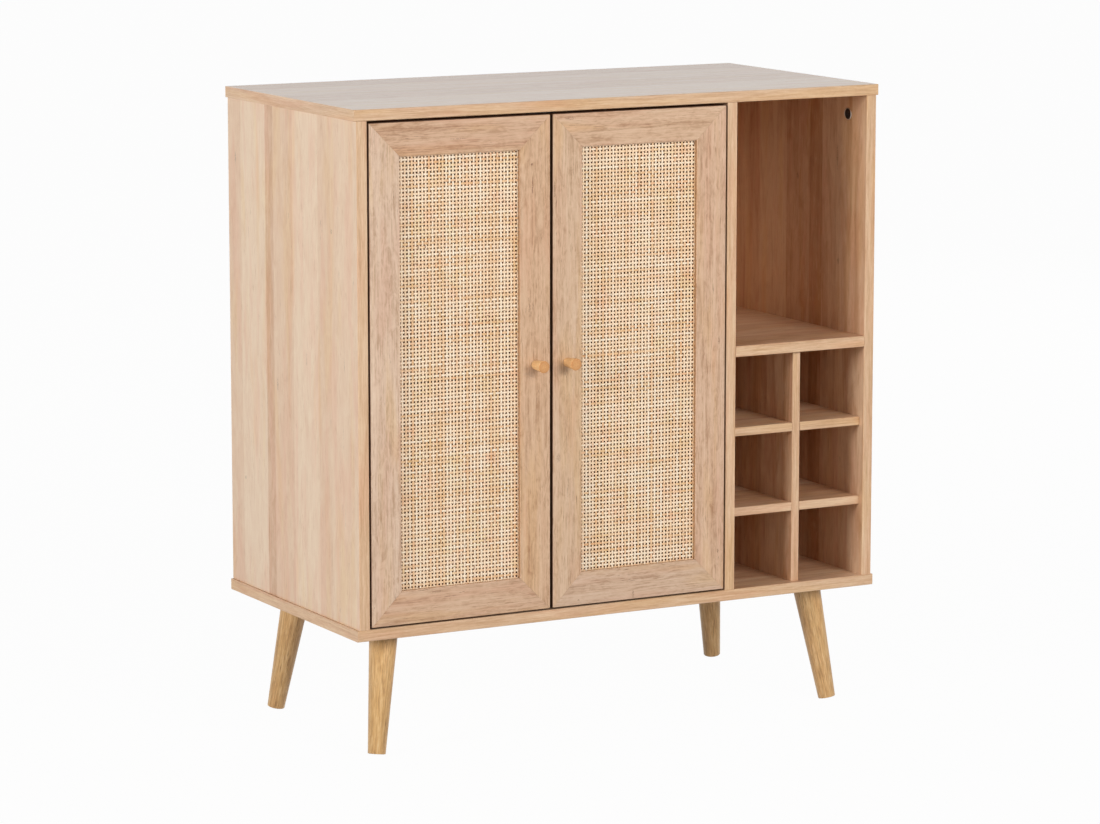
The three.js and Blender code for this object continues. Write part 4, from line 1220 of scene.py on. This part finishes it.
class CABINET_OT_stage(bpy.types.Operator):
    """Sets the floor, the light and the camera"""

    bl_idname = "cabinet.stage"
    bl_label = "Stage"
    bl_options = {"REGISTER", "UNDO"}

    # Softboxes: name, place, width, height, power in watts, colour. Their lower edges stay high,
    # so that little light gets under the cabinet to the far leg. They aren't mirrored, or the
    # smooth top would clip to white when it is seen from behind.
    LAMPS = (
        ("side_softbox", (-4.4, -1.05, 1.6), 1.3, 1.4, 106.0, "fffdfa"),
        ("front_softbox", (0.9, -4.7, 2.15), 2.4, 1.4, 139.0, "ffffff"),
        ("rear_softbox", (4.1, 2.2, 1.5), 2.4, 1.2, 45.0, "ffffff"),
    )

    # What the lamps point at
    MIDDLE = Vector((0, 0, 0.45))

    # How much of the floor is its own light where the camera sees it
    FLOOR_GLOW = 0.97

    # The world's strength at the horizon, overhead, and how high the overhead part starts
    WALL_LIGHT = 0.58
    CEILING_LIGHT = 0.08
    CEILING_HEIGHT = 0.7

    def execute(self, context):
        scene = context.scene
        stage = scene.cabinet_stage
        self.camera(scene, stage)
        self.floor(scene, stage)
        self.world(scene, stage)
        self.lamps(scene)
        scene.view_settings.view_transform = "Standard"
        return {"FINISHED"}

    def lamps(self, scene):
        """The softboxes, each turned to the middle of the cabinet."""
        for name, place, wide, high, power, code in self.LAMPS:
            light = bpy.data.lights.new(name, "AREA")
            light.shape = "RECTANGLE"
            light.size = wide
            light.size_y = high
            light.energy = power
            light.color = hex_colour(code)[:3]
            lamp = bpy.data.objects.new(name, light)
            lamp.visible_glossy = False
            aim = (self.MIDDLE - Vector(place)).to_track_quat("-Z", "Y")
            lamp.matrix_world = Matrix.Translation(place) @ aim.to_matrix().to_4x4()
            scene.collection.objects.link(lamp)

    def camera(self, scene, stage):
        """A plain camera at the photograph's viewing angle."""
        lens = bpy.data.cameras.new("photo_camera")
        lens.sensor_width = 36
        lens.lens = stage.lens
        camera = bpy.data.objects.new("photo_camera", lens)
        camera.location = stage.place
        camera.rotation_euler = (math.pi / 2 - stage.pitch, 0, -stage.azimuth)
        scene.collection.objects.link(camera)
        scene.camera = camera

    def floor(self, scene, stage):
        """A pale floor. To the camera it is partly white light, so that its shadow stays faint."""
        mesh = bmesh.new()
        bmesh.ops.create_grid(mesh, x_segments=1, y_segments=1, size=stage.floor_size / 2)
        data = bpy.data.meshes.new("floor")
        mesh.to_mesh(data)
        mesh.free()
        material, tree = new_material("pale_floor")
        paint = add(tree, "BsdfPrincipled", {"Base Color": stage.floor_colour, "Roughness": 0.8})
        glow = add(tree, "Emission", {"Color": stage.backdrop, "Strength": 1.0})
        share = add(tree, "Math", {0: backdrop_rays(tree), 1: self.FLOOR_GLOW},
                    operation="MULTIPLY")
        both = add(tree, "MixShader", {0: share, 1: paint, 2: glow})
        add(tree, "OutputMaterial", {"Surface": both})
        data.materials.append(material)
        floor = bpy.data.objects.new("floor", data)
        scene.collection.objects.link(floor)

    def world(self, scene, stage):
        """White walls round a darker ceiling. Camera and mirror rays see it all white."""
        world = bpy.data.worlds.new("studio")
        world.use_nodes = True
        tree = world.node_tree
        tree.nodes.clear()
        way = add(tree, "TexCoord").outputs["Generated"]
        height = add(tree, "SeparateXYZ", {0: way}).outputs["Z"]
        walls = add(tree, "MapRange", {
            "Value": height, "From Min": 0.0, "From Max": self.CEILING_HEIGHT,
            "To Min": self.WALL_LIGHT, "To Max": self.CEILING_LIGHT})
        strength = add(tree, "Mix", {0: backdrop_rays(tree), 2: walls, 3: 1.0})
        sky = add(tree, "Background", {"Color": stage.backdrop, "Strength": strength})
        add(tree, "OutputWorld", {"Surface": sky})
        scene.world = world


STEPS = (
    CABINET_OT_stage,
    CABINET_OT_boards,
    CABINET_OT_door_frames,
    CABINET_OT_cane,
    CABINET_OT_legs,
    CABINET_OT_knobs,
    CABINET_OT_hinges,
    CABINET_OT_fittings,
)


class CABINET_PT_sidebar(bpy.types.Panel):
    """Lists the operators and all settings in the 3D view's sidebar"""

    bl_idname = "CABINET_PT_sidebar"
    bl_label = "Wine cabinet"
    bl_space_type = "VIEW_3D"
    bl_region_type = "UI"
    bl_category = "Cabinet"

    def draw(self, context):
        for step in STEPS:
            self.layout.operator(step.bl_idname)
        for group, kind in GROUPS.items():
            box = self.layout.box()
            for name in kind.__annotations__:
                box.prop(getattr(context.scene, group), name)


def register():
    """Registers the groups of settings, the operators and the panel."""
    for group, kind in GROUPS.items():
        bpy.utils.register_class(kind)
        setattr(bpy.types.Scene, group, bpy.props.PointerProperty(type=kind))
    for step in STEPS:
        bpy.utils.register_class(step)
    bpy.utils.register_class(CABINET_PT_sidebar)


def unregister():
    """Takes them out again, in the opposite order."""
    bpy.utils.unregister_class(CABINET_PT_sidebar)
    for step in reversed(STEPS):
        bpy.utils.unregister_class(step)
    for group, kind in reversed(GROUPS.items()):
        delattr(bpy.types.Scene, group)
        bpy.utils.unregister_class(kind)


def main():
    """Makes everything in order."""
    register()
    for step in STEPS:
        getattr(bpy.ops.cabinet, step.bl_idname.removeprefix("cabinet."))()


if __name__ == "__main__":
    main()
